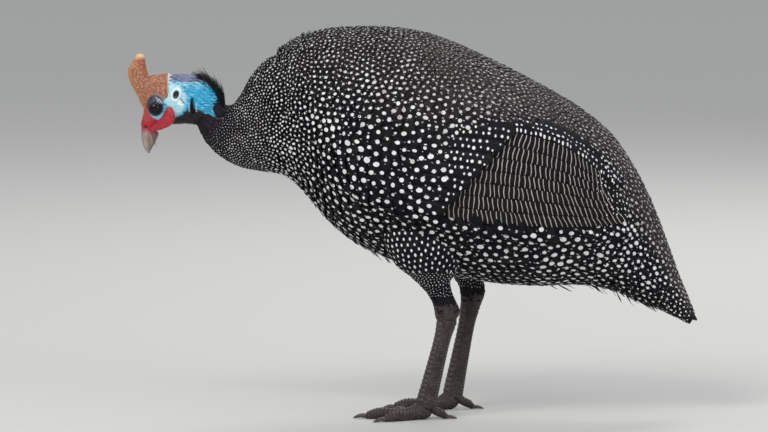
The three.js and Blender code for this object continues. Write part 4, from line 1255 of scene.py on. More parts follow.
def dress_wing(side, label):
    """The flight feathers and coverts of one wing, its bars, and the rims of its spots."""
    made, rims = [], []
    f = np.linspace(0, 1, SECONDARIES)[:, None]
    roots = mix(np.array([[14, 211.0]]), np.array([[2, 162.5]]), f)
    tips = mix(np.array([[139, 178.0]]), np.array([[154, 152.0]]), f)
    widths = np.full(SECONDARIES, 21.0)
    lifts = [(-3.2 + 0.3 * (1 - k), 0.6 + 1.2 * (1 - k)) for k in f[:, 0]]
    lay, lengths = side_vanes(roots, tips, widths, lifts, mix(12.0, -3.0, f[:, 0]), side, 0.5)
    tone = rng.uniform(0.1, 0.5, SECONDARIES)
    bakes = vane_bakes(SECONDARIES, 0.6, side)
    made.append(long_vane_object(f"secondaries_{label}", lay, lengths, widths, PANEL, bakes, tone, 30))
    made.append(strips_object(f"wing_bars_{label}", wing_bars(lay, lengths, widths), BAR))
    rims.append(edge_spots(lay, lengths, widths))

    for name, tier in TIERS.items():
        lay, lengths, widths = tier_vanes(tier, side)
        tone = np.clip(rng.normal(0.10, 0.08, len(lengths)), 0, 1)
        bakes = vane_bakes(len(lengths), 0.5, side)
        made.append(long_vane_object(f"{name}_{label}", lay, lengths, widths, COAT, bakes, tone, 22))
        for k in range(len(lengths)):
            first = mix(*tier["start"], k / max(len(lengths) - 1, 1))
            for v, pitch, width, share in tier["rows"]:
                places = np.arange(first + rng.uniform(0, 3.5), lengths[k] * 0.97, pitch)
                end = np.clip((lengths[k] - places) / (0.16 * lengths[k]), 0, 1)
                places = places[np.abs(v) < widths[k] / 2 * np.sqrt(1 - (1 - end) ** 2) - 1.0]
                over = over_vane(v, widths[k])
                rims.append(row_spots(lay, k, places, v, lengths[k], width, share, over))
    return made, np.concatenate(rims)


def wing_bars(lay, lengths, widths):
    """Thin, uneven pale bars across each secondary, slanted more on the lower feathers."""
    bars = []
    last = len(lengths) - 1
    for k, length in enumerate(lengths):
        for m in np.arange(8 + 1.1 * (k % 3), length - 8 - 3 * (k % 3), BAR_PITCH):
            m = m + rng.normal(0, 0.18)
            lean = -0.48 + 0.95 * m / length + 0.38 * k / last
            low, high = -0.99 + abs(rng.normal(0, 0.04)), 0.14 - abs(rng.normal(0, 0.06))
            v = np.linspace(low, high, 8) * widths[k] / 2
            wide = rng.uniform(0.26, 0.38) * np.sin(np.linspace(0.45, 2.9, 8)) ** 0.5
            shift = -lean * (v - v.mean()) + 0.28 * np.sin(v * 0.6 + m * 0.25) + rng.normal(0, 0.03, 8)
            over = over_vane(v, widths[k])
            a, _ = lay(k, (m - wide + shift) / length, v, over)
            b, _ = lay(k, (m + wide + shift) / length, v, over)
            bars.append(np.stack([a, b], 1))
    return bars


def edge_spots(lay, lengths, widths):
    """Spots near the secondaries' tips, where the bars break up."""
    rims = []
    for k, length in enumerate(lengths):
        for v in (-8.2, -4.6):
            first = length - 11 - 3 * (k % 3) + rng.uniform(0, 2)
            places = np.arange(first, length - 2.0 - 0.35 * abs(v), BAR_PITCH)
            rims.append(row_spots(lay, k, places, v, length, 1.35, 0.8, over_vane(v, widths[k])))
    return np.concatenate(rims)


# Tail

def tail_lay(starts, ends, fans, side):
    """Straight tail feathers, turned from flat on the back to upright at the sides."""
    axis = unit(np.array([84.0, 0, -84.0]))
    up = np.array([-axis[2], 0, axis[0]])

    def lay(k, u, v, over=0.0):
        u, v = np.broadcast_arrays(np.asarray(u, float), np.asarray(v, float))
        lean = 0.35 + 1.05 * fans[k]
        out = np.array([0, side, 0])
        face = up * math.cos(lean) + out * math.sin(lean)
        across = -up * math.sin(lean) + out * math.cos(lean)
        place = starts[k] + (ends[k] - starts[k]) * u[..., None]
        p = place + across * v[..., None] + face * (over + 0.06 * v)[..., None]
        return p, np.broadcast_to(face, p.shape)

    return lay


def dress_tail(side, label):
    """Half of the tail's feathers, and the rims of their spots."""
    pairs = 6
    f = np.linspace(0, 1, pairs)
    starts = np.stack([150 + 3 * f, side * (2.5 + 12 * f), 124 - 20 * f], -1)
    ends = np.stack([205 - 6 * f, side * (1.6 + 9 * f), 68.2 + 4.0 * f], -1)
    lengths = np.linalg.norm(ends - starts, axis=1)
    lay = tail_lay(starts, ends, f, side)
    bakes = np.stack([np.full(pairs, 0.5 + 0.05 * side), 0.9 + 0.01 * f], -1)
    widths = np.full(pairs, 13.0)
    tone = rng.uniform(0.1, 0.5, pairs)
    made = [long_vane_object(f"tail_feathers_{label}", lay, lengths, widths, COAT, bakes, tone, 18)]
    rims = []
    for k in range(pairs):
        for v in (-4.2, -1.2, 1.8, 4.4):
            places = np.arange(0.6 * lengths[k], lengths[k] * 0.95 - 0.3 * abs(v), 3.4)
            rims.append(row_spots(lay, k, places, v, lengths[k], 1.1, 1.2, over_vane(0, widths[k])))
    return made, np.concatenate(rims)


def dress_loose():
    """Loose dark feathers under the tail and before the thighs, and a few ruffled ones on the shoulders."""
    made = []
    for name, x_from, x_to, middle, spread, count, long, wide, stand in (
        ("vent", 108, 172, math.pi, 0.5, 80, (13, 19), (3, 4.5), (0.6, 2.6)),
        ("vent_spikes", 84, 150, math.pi, 0.5, 22, (15, 21), (2.6, 4.0), (3.0, 6.5)),
        ("thigh_front", -40, -8, math.pi, 0.5, 60, (14, 21), (2, 3.6), (1.2, 4.6)),
        ("ruffled", -112, -74, 0.0, 0.4, 18, (8, 11), (4.2, 6), (0.5, 2.2)),
    ):
        s = rng.uniform(s_at_x(x_from), s_at_x(x_to), count)
        t = middle + rng.normal(0, spread, count)
        half = np.interp(s, body.s, body.table[:, 4])
        size, width, lift = (rng.uniform(*span, count) for span in (long, wide, stand))
        feathers = Feathers(body, s, t, size, width, rng.normal(0, 0.25, count), coat_depth(s, half), lift)
        made += feathers.meshes(f"{name}_feathers", COAT, rng.uniform(0, 0.3, count))
    return made


# Nape plume and bristles

NAPE_LINE = [
    (-133.2, 221.5), (-135.9, 227.5), (-139.6, 233.0), (-144.0, 237.6), (-149.5, 241.2), (-154.0, 243.2),
]


def blades_object(name, roots, middles, ends, across, widths, thick, material):
    """Fine curved blades from roots by way of middles to ends."""
    f = np.linspace(0, 1, 5)[None, :, None]
    line = (1 - f) ** 2 * roots[:, None] + 2 * f * (1 - f) * middles[:, None] + f**2 * ends[:, None]
    taper = (1 - 0.92 * f**1.5) * widths[:, None, None] / 2
    flat = unit(np.cross(across, unit(ends - roots)))[:, None]
    sides = np.stack([line - across[:, None] * taper, line + across[:, None] * taper], 2)
    upper = sides + (flat * thick * (1 - 0.7 * f))[:, :, None] / 2
    under = sides - (flat * thick * (1 - 0.7 * f))[:, :, None] / 2
    count = len(roots)
    bake = np.tile([[0.2, 0.5]], (count, 1)) + rng.uniform(0, 0.05, (count, 2))
    return plates_object(name, upper, under, bake, material)


def make_plume():
    """Hair-like feathers that lie close along the nape, with a few loose tips over the crown."""
    count = 1500
    along = 0.82 * rng.uniform(0, 1, count) ** 0.85
    nape = through(NAPE_LINE)
    at = np.linspace(0, 1, len(nape))
    x, z = (np.interp(along, at, column) for column in nape.T)
    ahead_x, ahead_z = (np.interp(along, at, column) for column in unit(np.gradient(nape, axis=0)).T)
    ahead = np.stack([ahead_x, np.zeros(count), ahead_z], -1)
    out = np.stack([ahead[:, 2], np.zeros(count), -ahead[:, 0]], -1)
    y = np.clip(rng.normal(0, 2.8, count), -6.5, 6.5)
    roots = np.stack([x, y, z - 0.06 * y * y], -1) - out * 1.4
    loose = rng.uniform(0, 1, count) > 0.92
    room = (1 - along) * 30 + 1.5  # what is left of the nape ahead of the root
    length = np.minimum(rng.uniform(9, 16, count), room) + 4 * loose
    stand = rng.uniform(0.0, 0.40, count)
    curl = np.where(loose, -0.08, -0.14)
    middles = roots + ahead * (length * 0.5)[:, None] + out * (length * (stand * 0.5 + 0.06))[:, None]
    ends = roots + ahead * (length * 0.96)[:, None] + out * (length * (stand + curl))[:, None]
    ends[:, 1] += rng.normal(0, 0.8, count) + 0.12 * y
    across = unit(np.stack([rng.normal(0, 0.3, count), np.ones(count), rng.normal(0, 0.3, count)], -1))
    return blades_object("nape_plume", roots, middles, ends, across, rng.uniform(0.5, 1.0, count), 0.2, HAIR)


def head_places(count, x_range, z_range):
    """Places on both sides of the head within a box in side view, and the ways out there."""
    s, t = np.meshgrid(np.linspace(15, S_HEAD_END + 8, 220), np.linspace(0.1, 3.05, 140), indexing="ij")
    p = body.raw(s, t)
    within = np.ones(s.shape, bool)
    for axis, (low, high) in ((0, x_range), (2, z_range)):
        within &= (p[..., axis] > low) & (p[..., axis] < high)
    pick = rng.choice(np.flatnonzero(within.ravel()), count)
    roots, out = body.point(s.ravel()[pick], t.ravel()[pick], -0.3 + np.zeros(count))
    side = rng.choice([LEFT, RIGHT], count)[:, None]
    turn = np.concatenate([np.ones((count, 1)), side * np.sign(roots[:1, 1:2]), np.ones((count, 1))], 1)
    return roots * turn, out * turn


def make_bristles():
    """Sparse short black hairs on the bare blue neck, and a dense black down under the throat."""
    made = []
    for name, count, xs, zs, size, lean in (
        ("neck_bristles", 90, (-170, -142), (219, 241), (1.2, 2.6), 0.5),
        ("throat_down", 900, (-174, -138), (209, 217), (1.6, 3.0), 0.25),
    ):
        roots, out = head_places(count, xs, zs)
        lie = unit(out * lean + np.array([0.75, 0, -0.15]) + rng.normal(0, 0.18, out.shape))
        length = rng.uniform(*size, count)[:, None]
        across = unit(np.cross(lie, out))
        ends = roots + lie * length - out * 0.2 * length
        wide = rng.uniform(0.12, 0.24, count)
        made.append(blades_object(name, roots, roots + lie * length * 0.5, ends, across, wide, 0.12, HAIR))
    return made


# Casque, bill, wattles, eyes

KNOB_RIBS = [
    (-192.9, 219.6, -182.0, 226.0, 5.2),
    (-197.6, 229.8, -183.6, 237.4, 6.2),
    (-201.8, 237.6, -188.4, 243.2, 6.2),
    (-204.0, 243.6, -190.4, 247.0, 5.8),
    (-204.3, 248.8, -191.4, 250.8, 5.3),
    (-202.2, 253.2, -192.0, 254.4, 4.6),
    (-200.0, 256.6, -192.2, 257.2, 3.8),
    (-198.4, 258.9, -193.0, 259.1, 2.8),
    (-196.8, 260.2, -194.4, 260.3, 1.3),
]
CREST_RIBS = [
    (-194.0, 238.0, -187.0, 226.0, 6.0),
    (-188.4, 244.4, -184.0, 228.0, 6.8),
    (-182.0, 245.2, -180.0, 230.0, 7.2),
    (-176.6, 246.4, -176.4, 232.0, 6.8),
    (-174.9, 246.2, -175.0, 233.0, 6.2),
]
BILL_RIBS = [
    (-194.9, 209.0, -182.6, 203.6, 5.2),
    (-195.2, 204.6, -183.0, 200.8, 5.0),
    (-195.0, 200.0, -184.6, 197.4, 4.4),
    (-194.2, 196.0, -186.2, 194.2, 3.6),
    (-192.9, 192.4, -187.8, 191.4, 2.6),
    (-191.2, 189.6, -188.9, 189.2, 1.4),
    (-190.0, 188.6, -189.3, 188.5, 0.6),
]
MOUTH_PLACE = np.array([-186.4, 0, 200.0])
MOUTH_WAY = unit(np.array([-0.93, 0, -0.36]))  # the mouth's plane faces this way
# Where the casque's foot ends on the side of the head, and its front edge: x and z in side view
BASE_EDGE = [
    (-193.5, 219.5), (-191.5, 224.5), (-189.5, 229.5), (-186, 232.4), (-181, 232.2), (-178.5, 231.0),
    (-176.4, 229.4), (-174.4, 232.4),
]
CASQUE_FRONT = [(-192.4, 220), (-200.0, 238), (-202.6, 244), (-202.6, 250), (-198.5, 256), (-196.0, 260)]
RED_PATCH = [(-199, 255), (-193.5, 256.5), (-191, 250), (-194.5, 246.5)]
HORN_BROWN = (0.36, 0.145, 0.08)
HORN_ORANGE = (0.62, 0.27, 0.07)
HORN_TIP = (0.80, 0.56, 0.34)
HORN_RED = (0.42, 0.10, 0.05)
HORN_PALE = (0.80, 0.74, 0.70)


def casque_roughness(p):
    """Millimetres that the horn's lumps stand off its smooth form."""
    return 0.26 * wobble(p, 1.5, 5) + 0.18 * wobble(p, 0.7, 6)


def casque_part(name, ribs, rows):
    """The knob or the crest of the casque, from its sections."""
    form = Form(ribs, 2.2)
    p, out = form.point(*form.grid(rows, 72))
    p = p + out * casque_roughness(p)[..., None]
    return ring_object(name, p, CASQUE)


def casque_base():
    """The casque's foot: a shell of horn over the forehead and crown, down to the eye and the cheek."""
    first = np.interp(1.75, np.arange(len(HEAD_RIBS)), body.s[:HEAD_END + 1:PER_RIB])
    crown_x = body.table[:, 0]
    last = np.interp(-174.5, crown_x[4 * PER_RIB:8 * PER_RIB], body.s[4 * PER_RIB:8 * PER_RIB])
    s = np.linspace(first, last, 56)
    fine = np.linspace(0.02, 2.4, 200)
    limits = []
    for here in s:
        p = body.raw(here, fine)
        edge = np.interp(p[:, 0], *zip(*BASE_EDGE))
        below = np.flatnonzero(p[:, 2] < edge)
        limits.append(fine[below[0]] if len(below) else fine[-1])
    limits = np.maximum(np.array(limits), 0.10)
    v = np.linspace(-1, 1, 81)
    t = limits[:, None] * v[None, :]
    gs = s[:, None] * np.ones_like(t)
    crown = np.clip(1 - np.abs(v[None, :]) ** 5, 0, 1) * np.ones_like(t)
    ends = step(0, 4, gs - first) * mix(0.55, 1, step(0, 2.2, last - gs))
    lift = 0.18 + 1.15 * crown * ends
    upper, out = body.point(gs, t, lift)
    upper = upper + out * (casque_roughness(upper) * (0.25 + 0.75 * crown))[..., None]
    under, _ = body.point(gs, t, -0.8 + 0 * lift)
    bake = np.array([[0.5, 0.1]])
    return outward(plates_object("casque_base", upper[None], under[None], bake, CASQUE))


def paint_casque(obj):
    """Brown horn, orange along the front, pale at the tip and behind, with a reddish patch."""
    q = vertices_of(obj)
    front_x, front_z = zip(*CASQUE_FRONT)
    front = np.interp(q[:, 2], front_z, front_x)
    behind = step(-176.0, -175.2, q[:, 0]) * step(232, 234, q[:, 2])
    colour = np.broadcast_to(np.array(HORN_BROWN), q.shape)
    for tint, mask in (
        (HORN_ORANGE, 0.8 * (1 - step(-1.6, 2.2, q[:, 0] - front))),
        (HORN_TIP, step(255.5, 259.5, q[:, 2])),
        (HORN_RED, 0.7 * paint_mask(q, RED_PATCH, 1.4)),
        (HORN_PALE, behind),
    ):
        colour = mix(colour, np.array(tint), mask[:, None])
    add_colour(obj, "rim", colour)
    flecks = step(-2.0, 1.5, q[:, 0] - front) - 0.8 * step(254, 258, q[:, 2]) - behind
    add_value(obj, "mottle", np.clip(flecks, 0.1, 1))


def make_casque():
    knob = casque_part("casque_knob", KNOB_RIBS, 110)
    crest = casque_part("casque_crest", CREST_RIBS, 60)
    pieces = [knob, crest, casque_base()]
    for obj in pieces:
        paint_casque(obj)
    return pieces


def bill_material(name, light, dark):
    """Horn with long grain, red where "red" is 1."""
    material, tree, principled = shader(name, 0.38, 0.5)
    fine = noise(tree, 260, 4.0, 0.6, (1, 1, 0.3))
    colour = ramp(tree, fine, [(0.3, dark), (0.65, light)])
    colour = blend(tree, attribute(tree, "red"), colour, (0.40, 0.03, 0.05))
    link(tree, colour, principled.inputs["Base Color"])
    bumped(tree, principled, fine, 0.3, 0.0003)
    return material


def make_bill():
    """The bill is parted along the mouth; the upper half's tip hooks over the lower."""
    form = Form(BILL_RIBS, 2.0)
    light, dark = (0.42, 0.33, 0.29), (0.16, 0.115, 0.10)
    made = []
    for name, way, reach in (("bill_upper_horn", 1, 1.0), ("bill_lower_horn", -1, 0.80)):
        s, t = form.grid(60, 72, form.length * reach)
        p, out = form.point(s, t)
        curve = 0.25 * np.sin(3.1 * s / form.length)
        over = (p - MOUTH_PLACE) @ MOUTH_WAY - curve
        rim = way * over - 0.07
        lip = 0.22 * bump(rim - 0.7, 0.6) if way > 0 else 0.0
        p = p + out * np.broadcast_to(lip, rim.shape)[..., None] * (1 - s / form.length)[..., None]
        p = p - (np.minimum(rim, 0) * way)[..., None] * MOUTH_WAY
        # The lower half's horn is darkened to 0.42 of the upper's as painted shade.
        shade = 1.0 if way > 0 else 0.42
        horn = bill_material(name, tuple(c * shade for c in light), tuple(c * shade for c in dark))
        obj = ring_object(name, p, horn)
        q = vertices_of(obj)
        add_value(obj, "red", 0.9 * step(202.2, 206.2, q[:, 2] + 0.25 * (q[:, 0] + 190)))
        made.append(obj)
    return made


WATTLE_RIBS = [
    (-188.4, 206.8, -187.0, 204.9, 0.3),
    (-186.0, 209.6, -183.4, 205.6, 0.9),
    (-182.8, 212.6, -179.4, 206.6, 1.4),
    (-179.8, 216.0, -175.0, 208.8, 1.9),
    (-178.0, 219.4, -171.2, 212.0, 2.3),
    (-176.5, 221.9, -170.3, 215.8, 2.0),
    (-174.9, 223.0, -171.2, 219.4, 1.4),
    (-173.7, 223.1, -172.4, 221.7, 0.6),
]


def make_wattle(side, label):
    """A soft flap that hangs back from the corner of the bill and stands out from the cheek."""
    form = Form(WATTLE_RIBS, 2.3, sideways=lambda p: side * (6.6 + 7.4 * step(-188, -172, p[..., 0])))
    p, out = form.point(*form.grid(50, 48))
    p = p + out * (0.28 * wobble(p, 1.7, 9 + side) + 0.10 * wobble(p, 0.7, 12 + side))[..., None]
    return ring_object(f"wattle_{label}_skin", p, RED)


def eye_material():
    """The wet globe of the eye, painted with its dark iris."""
    material, tree, principled = shader("eye_wet", 0.05, 0.3)
    link(tree, attribute(tree, "iris", "Color"), principled.inputs["Base Color"])
    return material


EYE_GLASS = eye_material()
LID_FLECKS = [
    (-183.6, 229.0), (-182.2, 228.0), (-180.9, 227.6), (-181.4, 225.9), (-179.8, 226.0), (-182.8, 226.6),
]


def make_globe(side, label):
    """The ball of the eye."""
    lat = np.linspace(0.02, math.pi - 0.02, 40)
    lon = np.linspace(0, 2 * math.pi, 64, endpoint=False)
    la, lo = np.meshgrid(lat, lon, indexing="ij")
    way = np.stack([np.sin(la) * np.cos(lo), np.cos(la) * side, np.sin(la) * np.sin(lo)], -1)
    centre = EYE * np.array([1, side, 1])
    globe = ring_object(f"eye_{label}_globe", centre + way * EYE_RADIUS, EYE_GLASS)
    q = vertices_of(globe)
    iris = step(2.2, 2.5, np.hypot(q[:, 0] - centre[0], q[:, 2] - centre[2]))[:, None]
    add_colour(globe, "iris", mix(np.array([0.0015, 0.0015, 0.0015]), np.array([0.016, 0.008, 0.006]), iris))
    return globe


def make_lids(side, label, skin_tree):
    """One ring of folded skin from the eye's opening out to the cheek."""
    rows, columns = 34, 97
    f = np.linspace(0, 1, rows)[:, None]
    turn = np.linspace(0, 2 * math.pi, columns)[None, :]

    def ellipse(rim):
        (x, z), (wide, high) = rim["centre"], rim["size"]
        return x + wide * np.cos(turn), z + high * np.sin(turn)

    x0, z0 = ellipse(EYE_SLIT)
    x1, z1 = ellipse(LID_RIM)
    x, z = mix(x0, x1, f), mix(z0, z1, f)
    ball = EYE[1] + np.sqrt(np.clip(EYE_RADIUS**2 - (x - EYE[0]) ** 2 - (z - EYE[2]) ** 2, 0, None))
    cheek = np.zeros_like(x)
    for i in range(rows):
        for j in range(columns):
            hit, _, _, _ = skin_tree.ray_cast((x[i, j], 40.0 * side, z[i, j]), (0, -side, 0), 60)
            cheek[i, j] = abs(hit[1]) if hit is not None else ball[i, j]
    over = np.logaddexp(3.0 * (ball + 0.35), 3.0 * (cheek + 0.45)) / 3.0
    over = mix(over, cheek - 0.1, step(0.90, 1.0, f))
    creases = 0.16 * (1 + np.sin(f * 21 + 0.5 * np.sin(3 * turn)))
    rolls = 0.5 * bump(f - 0.07, 0.07) + creases * step(0.1, 0.2, f) * (1 - step(0.9, 1, f))
    upper = np.stack([x, side * (over + rolls), z], -1)
    under = np.stack([x, side * (np.maximum(ball, cheek - 1.2) - 0.3), z], -1)
    ring = plates_object(f"lids_{label}", upper[None], under[None], np.array([[0.3, 0.3]]), LID)
    paint_lids(ring)
    return outward(ring)


def paint_lids(ring):
    """Slate lids, paler and flecked with blue behind and above, and black round the eye's opening; the paler
    patches are a painted sheen.
    """
    q = vertices_of(ring)
    colour = np.broadcast_to(np.array(SLATE), q.shape)
    # Painted sheen: paler patches over the upper lid.
    paler = step(0.1, 0.8, wobble(q, 1.6, 51)) * step(222, 229, q[:, 2])
    colour = mix(colour, np.array([0.11, 0.12, 0.18]), paler[:, None])
    near = np.hypot(q[:, 0] - EYE_SLIT["centre"][0], (q[:, 2] - EYE_SLIT["centre"][1]) * 1.15)
    colour = mix(colour, np.array([0.005, 0.005, 0.008]), (1 - step(4.3, 5.9, near))[:, None])
    for k, (x, z) in enumerate(LID_FLECKS):
        slant = 0.9 if k % 2 else -0.9
        along = ((q[:, 0] - x) + slant * (q[:, 2] - z)) / 1.35
        across = ((q[:, 2] - z) - slant * (q[:, 0] - x)) / 1.35
        fleck = 0.85 * bump(along, 1.2) * bump(across, 0.32)
        colour = mix(colour, np.array([0.55, 0.72, 0.80]), fleck[:, None])
    add_colour(ring, "paint", colour)


# Legs

LEGS = {
    "left": dict(
        side=LEFT, hip=40, foot_y=33, ankle=(24.6, 71.0), foot=(9.0, 8.5), turn=4,
        drumstick=[
            (-28.0, 156.0, 38.0, 150.0, 15),
            (-22.0, 132.0, 36.0, 124.0, 22),
            (-13.0, 113.0, 32.0, 108.0, 20),
            (-0.5, 102.5, 26.8, 99.5, 13),
            (9.6, 92.0, 28.2, 91.0, 9.4),
            (14.6, 83.5, 31.2, 84.0, 7.8),
            (16.2, 75.6, 33.5, 77.6, 7.4),
            (17.4, 68.5, 31.2, 69.8, 6.6),
        ],
    ),
    "right": dict(
        side=RIGHT, hip=40, foot_y=30, ankle=(42.2, 76.0), foot=(29.0, 8.5), turn=-6,
        drumstick=[
            (-10.0, 156.0, 58.0, 150.0, 15),
            (-4.0, 132.0, 56.0, 124.0, 22),
            (8.0, 113.0, 54.0, 108.0, 20),
            (25.0, 101.0, 50.4, 98.0, 13),
            (33.0, 91.5, 52.0, 91.0, 9.6),
            (35.2, 84.0, 52.6, 85.0, 7.8),
            (35.4, 77.0, 50.4, 78.6, 7.0),
            (34.9, 70.0, 48.4, 71.5, 6.4),
        ],
    ),
}
# Half widths of the shank from the ankle to the foot, seen from the front and from the side
SHANK = [(6.4, 7.2), (5.2, 5.9), (4.6, 5.6), (4.5, 5.8), (4.4, 6.1), (4.5, 6.4), (4.9, 6.8), (5.4, 7.2)]
# Toes: the angle it is turned by, length, half its thickness, and whether it is the raised hind toe
TOES = [
    ("inner", 32, 31, 4.0, False),
    ("middle", 0, 42, 4.4, False),
    ("outer", -34, 33, 4.0, False),
    ("hind", 172, 15, 3.1, True),
]
# Along a toe: the share of its length, the share of its thickness, and the rise of a front and a hind toe
TOE_JOINTS = [
    (0.04, 1.2, 4.5, 7.5),
    (0.2, 1.05, 1.0, 5.6),
    (0.46, 0.94, 0, 3.4),
    (0.76, 1.0, 0, 1.4),
    (1, 0.6, 0, 0),
]
# Along a claw: the share of its length, its radius, and its rise over the toe's tip
CLAW_RINGS = [(-0.25, 1.55, 0.0), (0, 1.75, 0.1), (0.33, 1.6, 0.4), (0.7, 1.15, -0.4), (1, 0.35, -3)]
# Bands of spots on the drumstick: from z to z, spacing and size
DRUMSTICK_SPOTS = [(108, 140, 4.8, 1.5), (97, 108, 2.7, 0.75), (89, 97, 2.4, 0.5)]
FLOOR = 0.02  # the lowest that a foot reaches


def swept(name, path, radii, material, columns):
    """A tube along a path of points (rows, 3), with radii (rows, 2) across and up, that ends at the floor."""
    along = unit(np.gradient(path, axis=0))
    across = unit(np.cross(along, np.array([0, 0, 1.0])) + np.array([0, 1e-6, 0]))
    up = unit(np.cross(across, along))
    a = np.linspace(0, 2 * math.pi, columns, endpoint=False)
    rings = (path[:, None] + across[:, None] * (radii[:, :1] * np.cos(a))[..., None]
             + up[:, None] * (radii[:, 1:] * np.sin(a))[..., None])
    rings[..., 2] = np.maximum(rings[..., 2], FLOOR)
    return ring_object(name, rings, material), across, up


def leg_bend(leg):
    """How far from the middle plane the drumstick lies, from the hip down to the ankle."""
    def sideways(p):
        f = np.clip((p[..., 2] - leg["ankle"][1]) / (132 - leg["ankle"][1]), 0, 1)
        return leg["side"] * (leg["foot_y"] + (leg["hip"] - leg["foot_y"]) * f)

    return sideways


def scute_plates(name, count, place, arc, material, rows=4, columns=9):
    """Overlapping plates on a limb. place(f, angle, stand) gives points, and f runs down the limb."""
    upper, under = [], []
    for k in range(count):
        f0, f1 = k / count, (k + 1) / count - 0.004
        f = np.linspace(f0, f1, rows)[:, None]
        angle = np.linspace(-arc, arc, columns)[None, :]
        tuck = 0.10 + 0.42 * ((f - f0) / (f1 - f0)) ** 0.7
        crown = tuck * np.clip(1 - (np.abs(angle) / arc) ** 4, 0, 1)
        wave = 0.010 * np.cos(angle * 2)
        upper.append(place(f - wave / count, angle, crown + 0.05))
        under.append(place(f - wave / count, angle, -0.7 + 0 * crown))
    upper, under = np.array(upper), np.array(under)
    bake = np.tile([[0.5, 0.5]], (count, 1)) + np.linspace(0, 0.4, count)[:, None] * np.array([[0, 1]])
    return outward(plates_object(name, upper, under, bake, material))


def drumstick_spacing(p):
    """Millimetres from feather to feather, closest above the ankle."""
    return np.interp(p[..., 2], [80, 100, 125], [1.5, 3.0, 5.0])


def drumstick_skin(drum, name):
    """The skin within the feathers, bare and rough round the ankle."""
    s, t = drum.grid(40, 40, drum.length - 0.5)
    cover = np.interp(s, drum.length - np.array([22, 13, 5, 0.5]), [-1.6, 0.3, 0.2, -1.2])
    p, out = drum.point(s, t, cover)
    rough = 0.25 * wobble(p, 1.6, 61) * step(drum.length - 16, drum.length - 10, s)
    return ring_object(f"drumstick_{name}_skin", p + out * rough[..., None], SCALE)


def drumstick_coat(drum, name):
    """Feathers that grow smaller and fewer down to the ankle."""
    s, t = scatter(drum, 10, drum.length - 12, drumstick_spacing)
    worn = (s > drum.length - 20) & (rng.uniform(0, 1, len(s)) < (s - drum.length + 20) / 11)
    s, t = s[~worn], t[~worn]
    n = len(s)
    pitch = drumstick_spacing(drum.raw(s, t))
    length = np.minimum(2.7 * pitch + 2, np.clip(drum.length - 8 - s, 2.2, 99)) * rng.uniform(0.7, 1.1, n)
    lift = 0.25 + rng.normal(0, 0.10, n)
    depth = np.interp(s, drum.length - np.array([24, 12]), [1.4, 0.1])
    feathers = Feathers(drum, s, t, length, 2.0 * pitch, rng.normal(0, 0.08, n), depth, lift)
    return feathers.meshes(f"drumstick_{name}_feathers", COAT, rng.uniform(0, 0.2, n))


def drumstick_spots(drum, coat):
    """Rims of the spots: round and spaced on the thigh, tiny and close above the ankle."""
    tree = surface_of(coat)
    rims = []
    for z_from, z_to, gap, size in DRUMSTICK_SPOTS:
        s, t = scatter(drum, 10, drum.length - 16, lambda p: np.full(p.shape[:-1], gap))
        z = drum.raw(s, t)[:, 2]
        shown = (z > z_from) & (z < z_to)
        s, t = s[shown], t[shown]
        size = size * rng.normal(1, 0.12, len(s))
        rims.append(scatter_spots(drum, s, t, size, np.full(len(s), 1.5), tree, np.zeros(len(s))))
    return np.concatenate(rims)


def make_shank(leg, name):
    """The bare shank with its ribbed ankle, the plates before and behind it, and the pad under it."""
    top = np.array([leg["ankle"][0], leg["side"] * leg["foot_y"], leg["ankle"][1]])
    end = np.array([leg["foot"][0], leg["side"] * leg["foot_y"], leg["foot"][1]])
    along = unit(end - top)
    ahead = unit(np.array([along[2], 0, -along[0]]))
    ahead = ahead if ahead[0] < 0 else -ahead
    beside = np.array([0, 1, 0])
    widths = through(SHANK, 12)
    at = np.linspace(0, 1, len(widths))

    def place(f, angle, stand):
        f, angle, stand = np.broadcast_arrays(f, angle, stand)
        w, d = np.interp(f, at, widths[:, 0]), np.interp(f, at, widths[:, 1])
        centre = top + (end - top) * f[..., None]
        forward = ahead * ((d + stand) * np.cos(angle))[..., None]
        return centre + forward + beside * ((w + stand) * np.sin(angle))[..., None]

    def before(f, angle, stand):
        return place(0.03 + 0.92 * f, angle, stand)

    def behind(f, angle, stand):
        return place(0.05 + 0.9 * f, angle + math.pi, stand * 0.7)

    f = np.linspace(-0.075, 1.0, 70)[:, None]
    angle = np.linspace(0, 2 * math.pi, 40, endpoint=False)[None, :]
    rings = place(f, angle, -0.05 + 0.22 * np.sin(f * 90) * (1 - step(0.06, 0.10, f)))
    knob = 1 - 0.35 * np.clip(-f / 0.075, 0, 1) ** 2
    centre_line = top + (end - top) * f[..., None]
    rings = centre_line + (rings - centre_line) * knob[..., None]
    made = [ring_object(f"shank_{name}", rings, SCALE)]
    made.append(scute_plates(f"shank_scutes_{name}", 17, before, 1.15, SCUTE))
    made.append(scute_plates(f"shank_back_{name}", 26, behind, 0.75, SCUTE, 3, 7))
    down = np.linspace(0.05, math.pi - 0.05, 16)[:, None]
    round_x, round_y = 6.4 * np.sin(down) * np.cos(angle), 6.0 * np.sin(down) * np.sin(angle)
    pad = np.stack([round_x, round_y, 5.2 * np.cos(down) * np.ones_like(angle)], -1)
    pad = pad + end + np.array([-1.5, 0, -3.2])
    pad[..., 2] = np.maximum(pad[..., 2], FLOOR)
    made.append(ring_object(f"foot_pad_{name}", pad, SCALE))
    return made


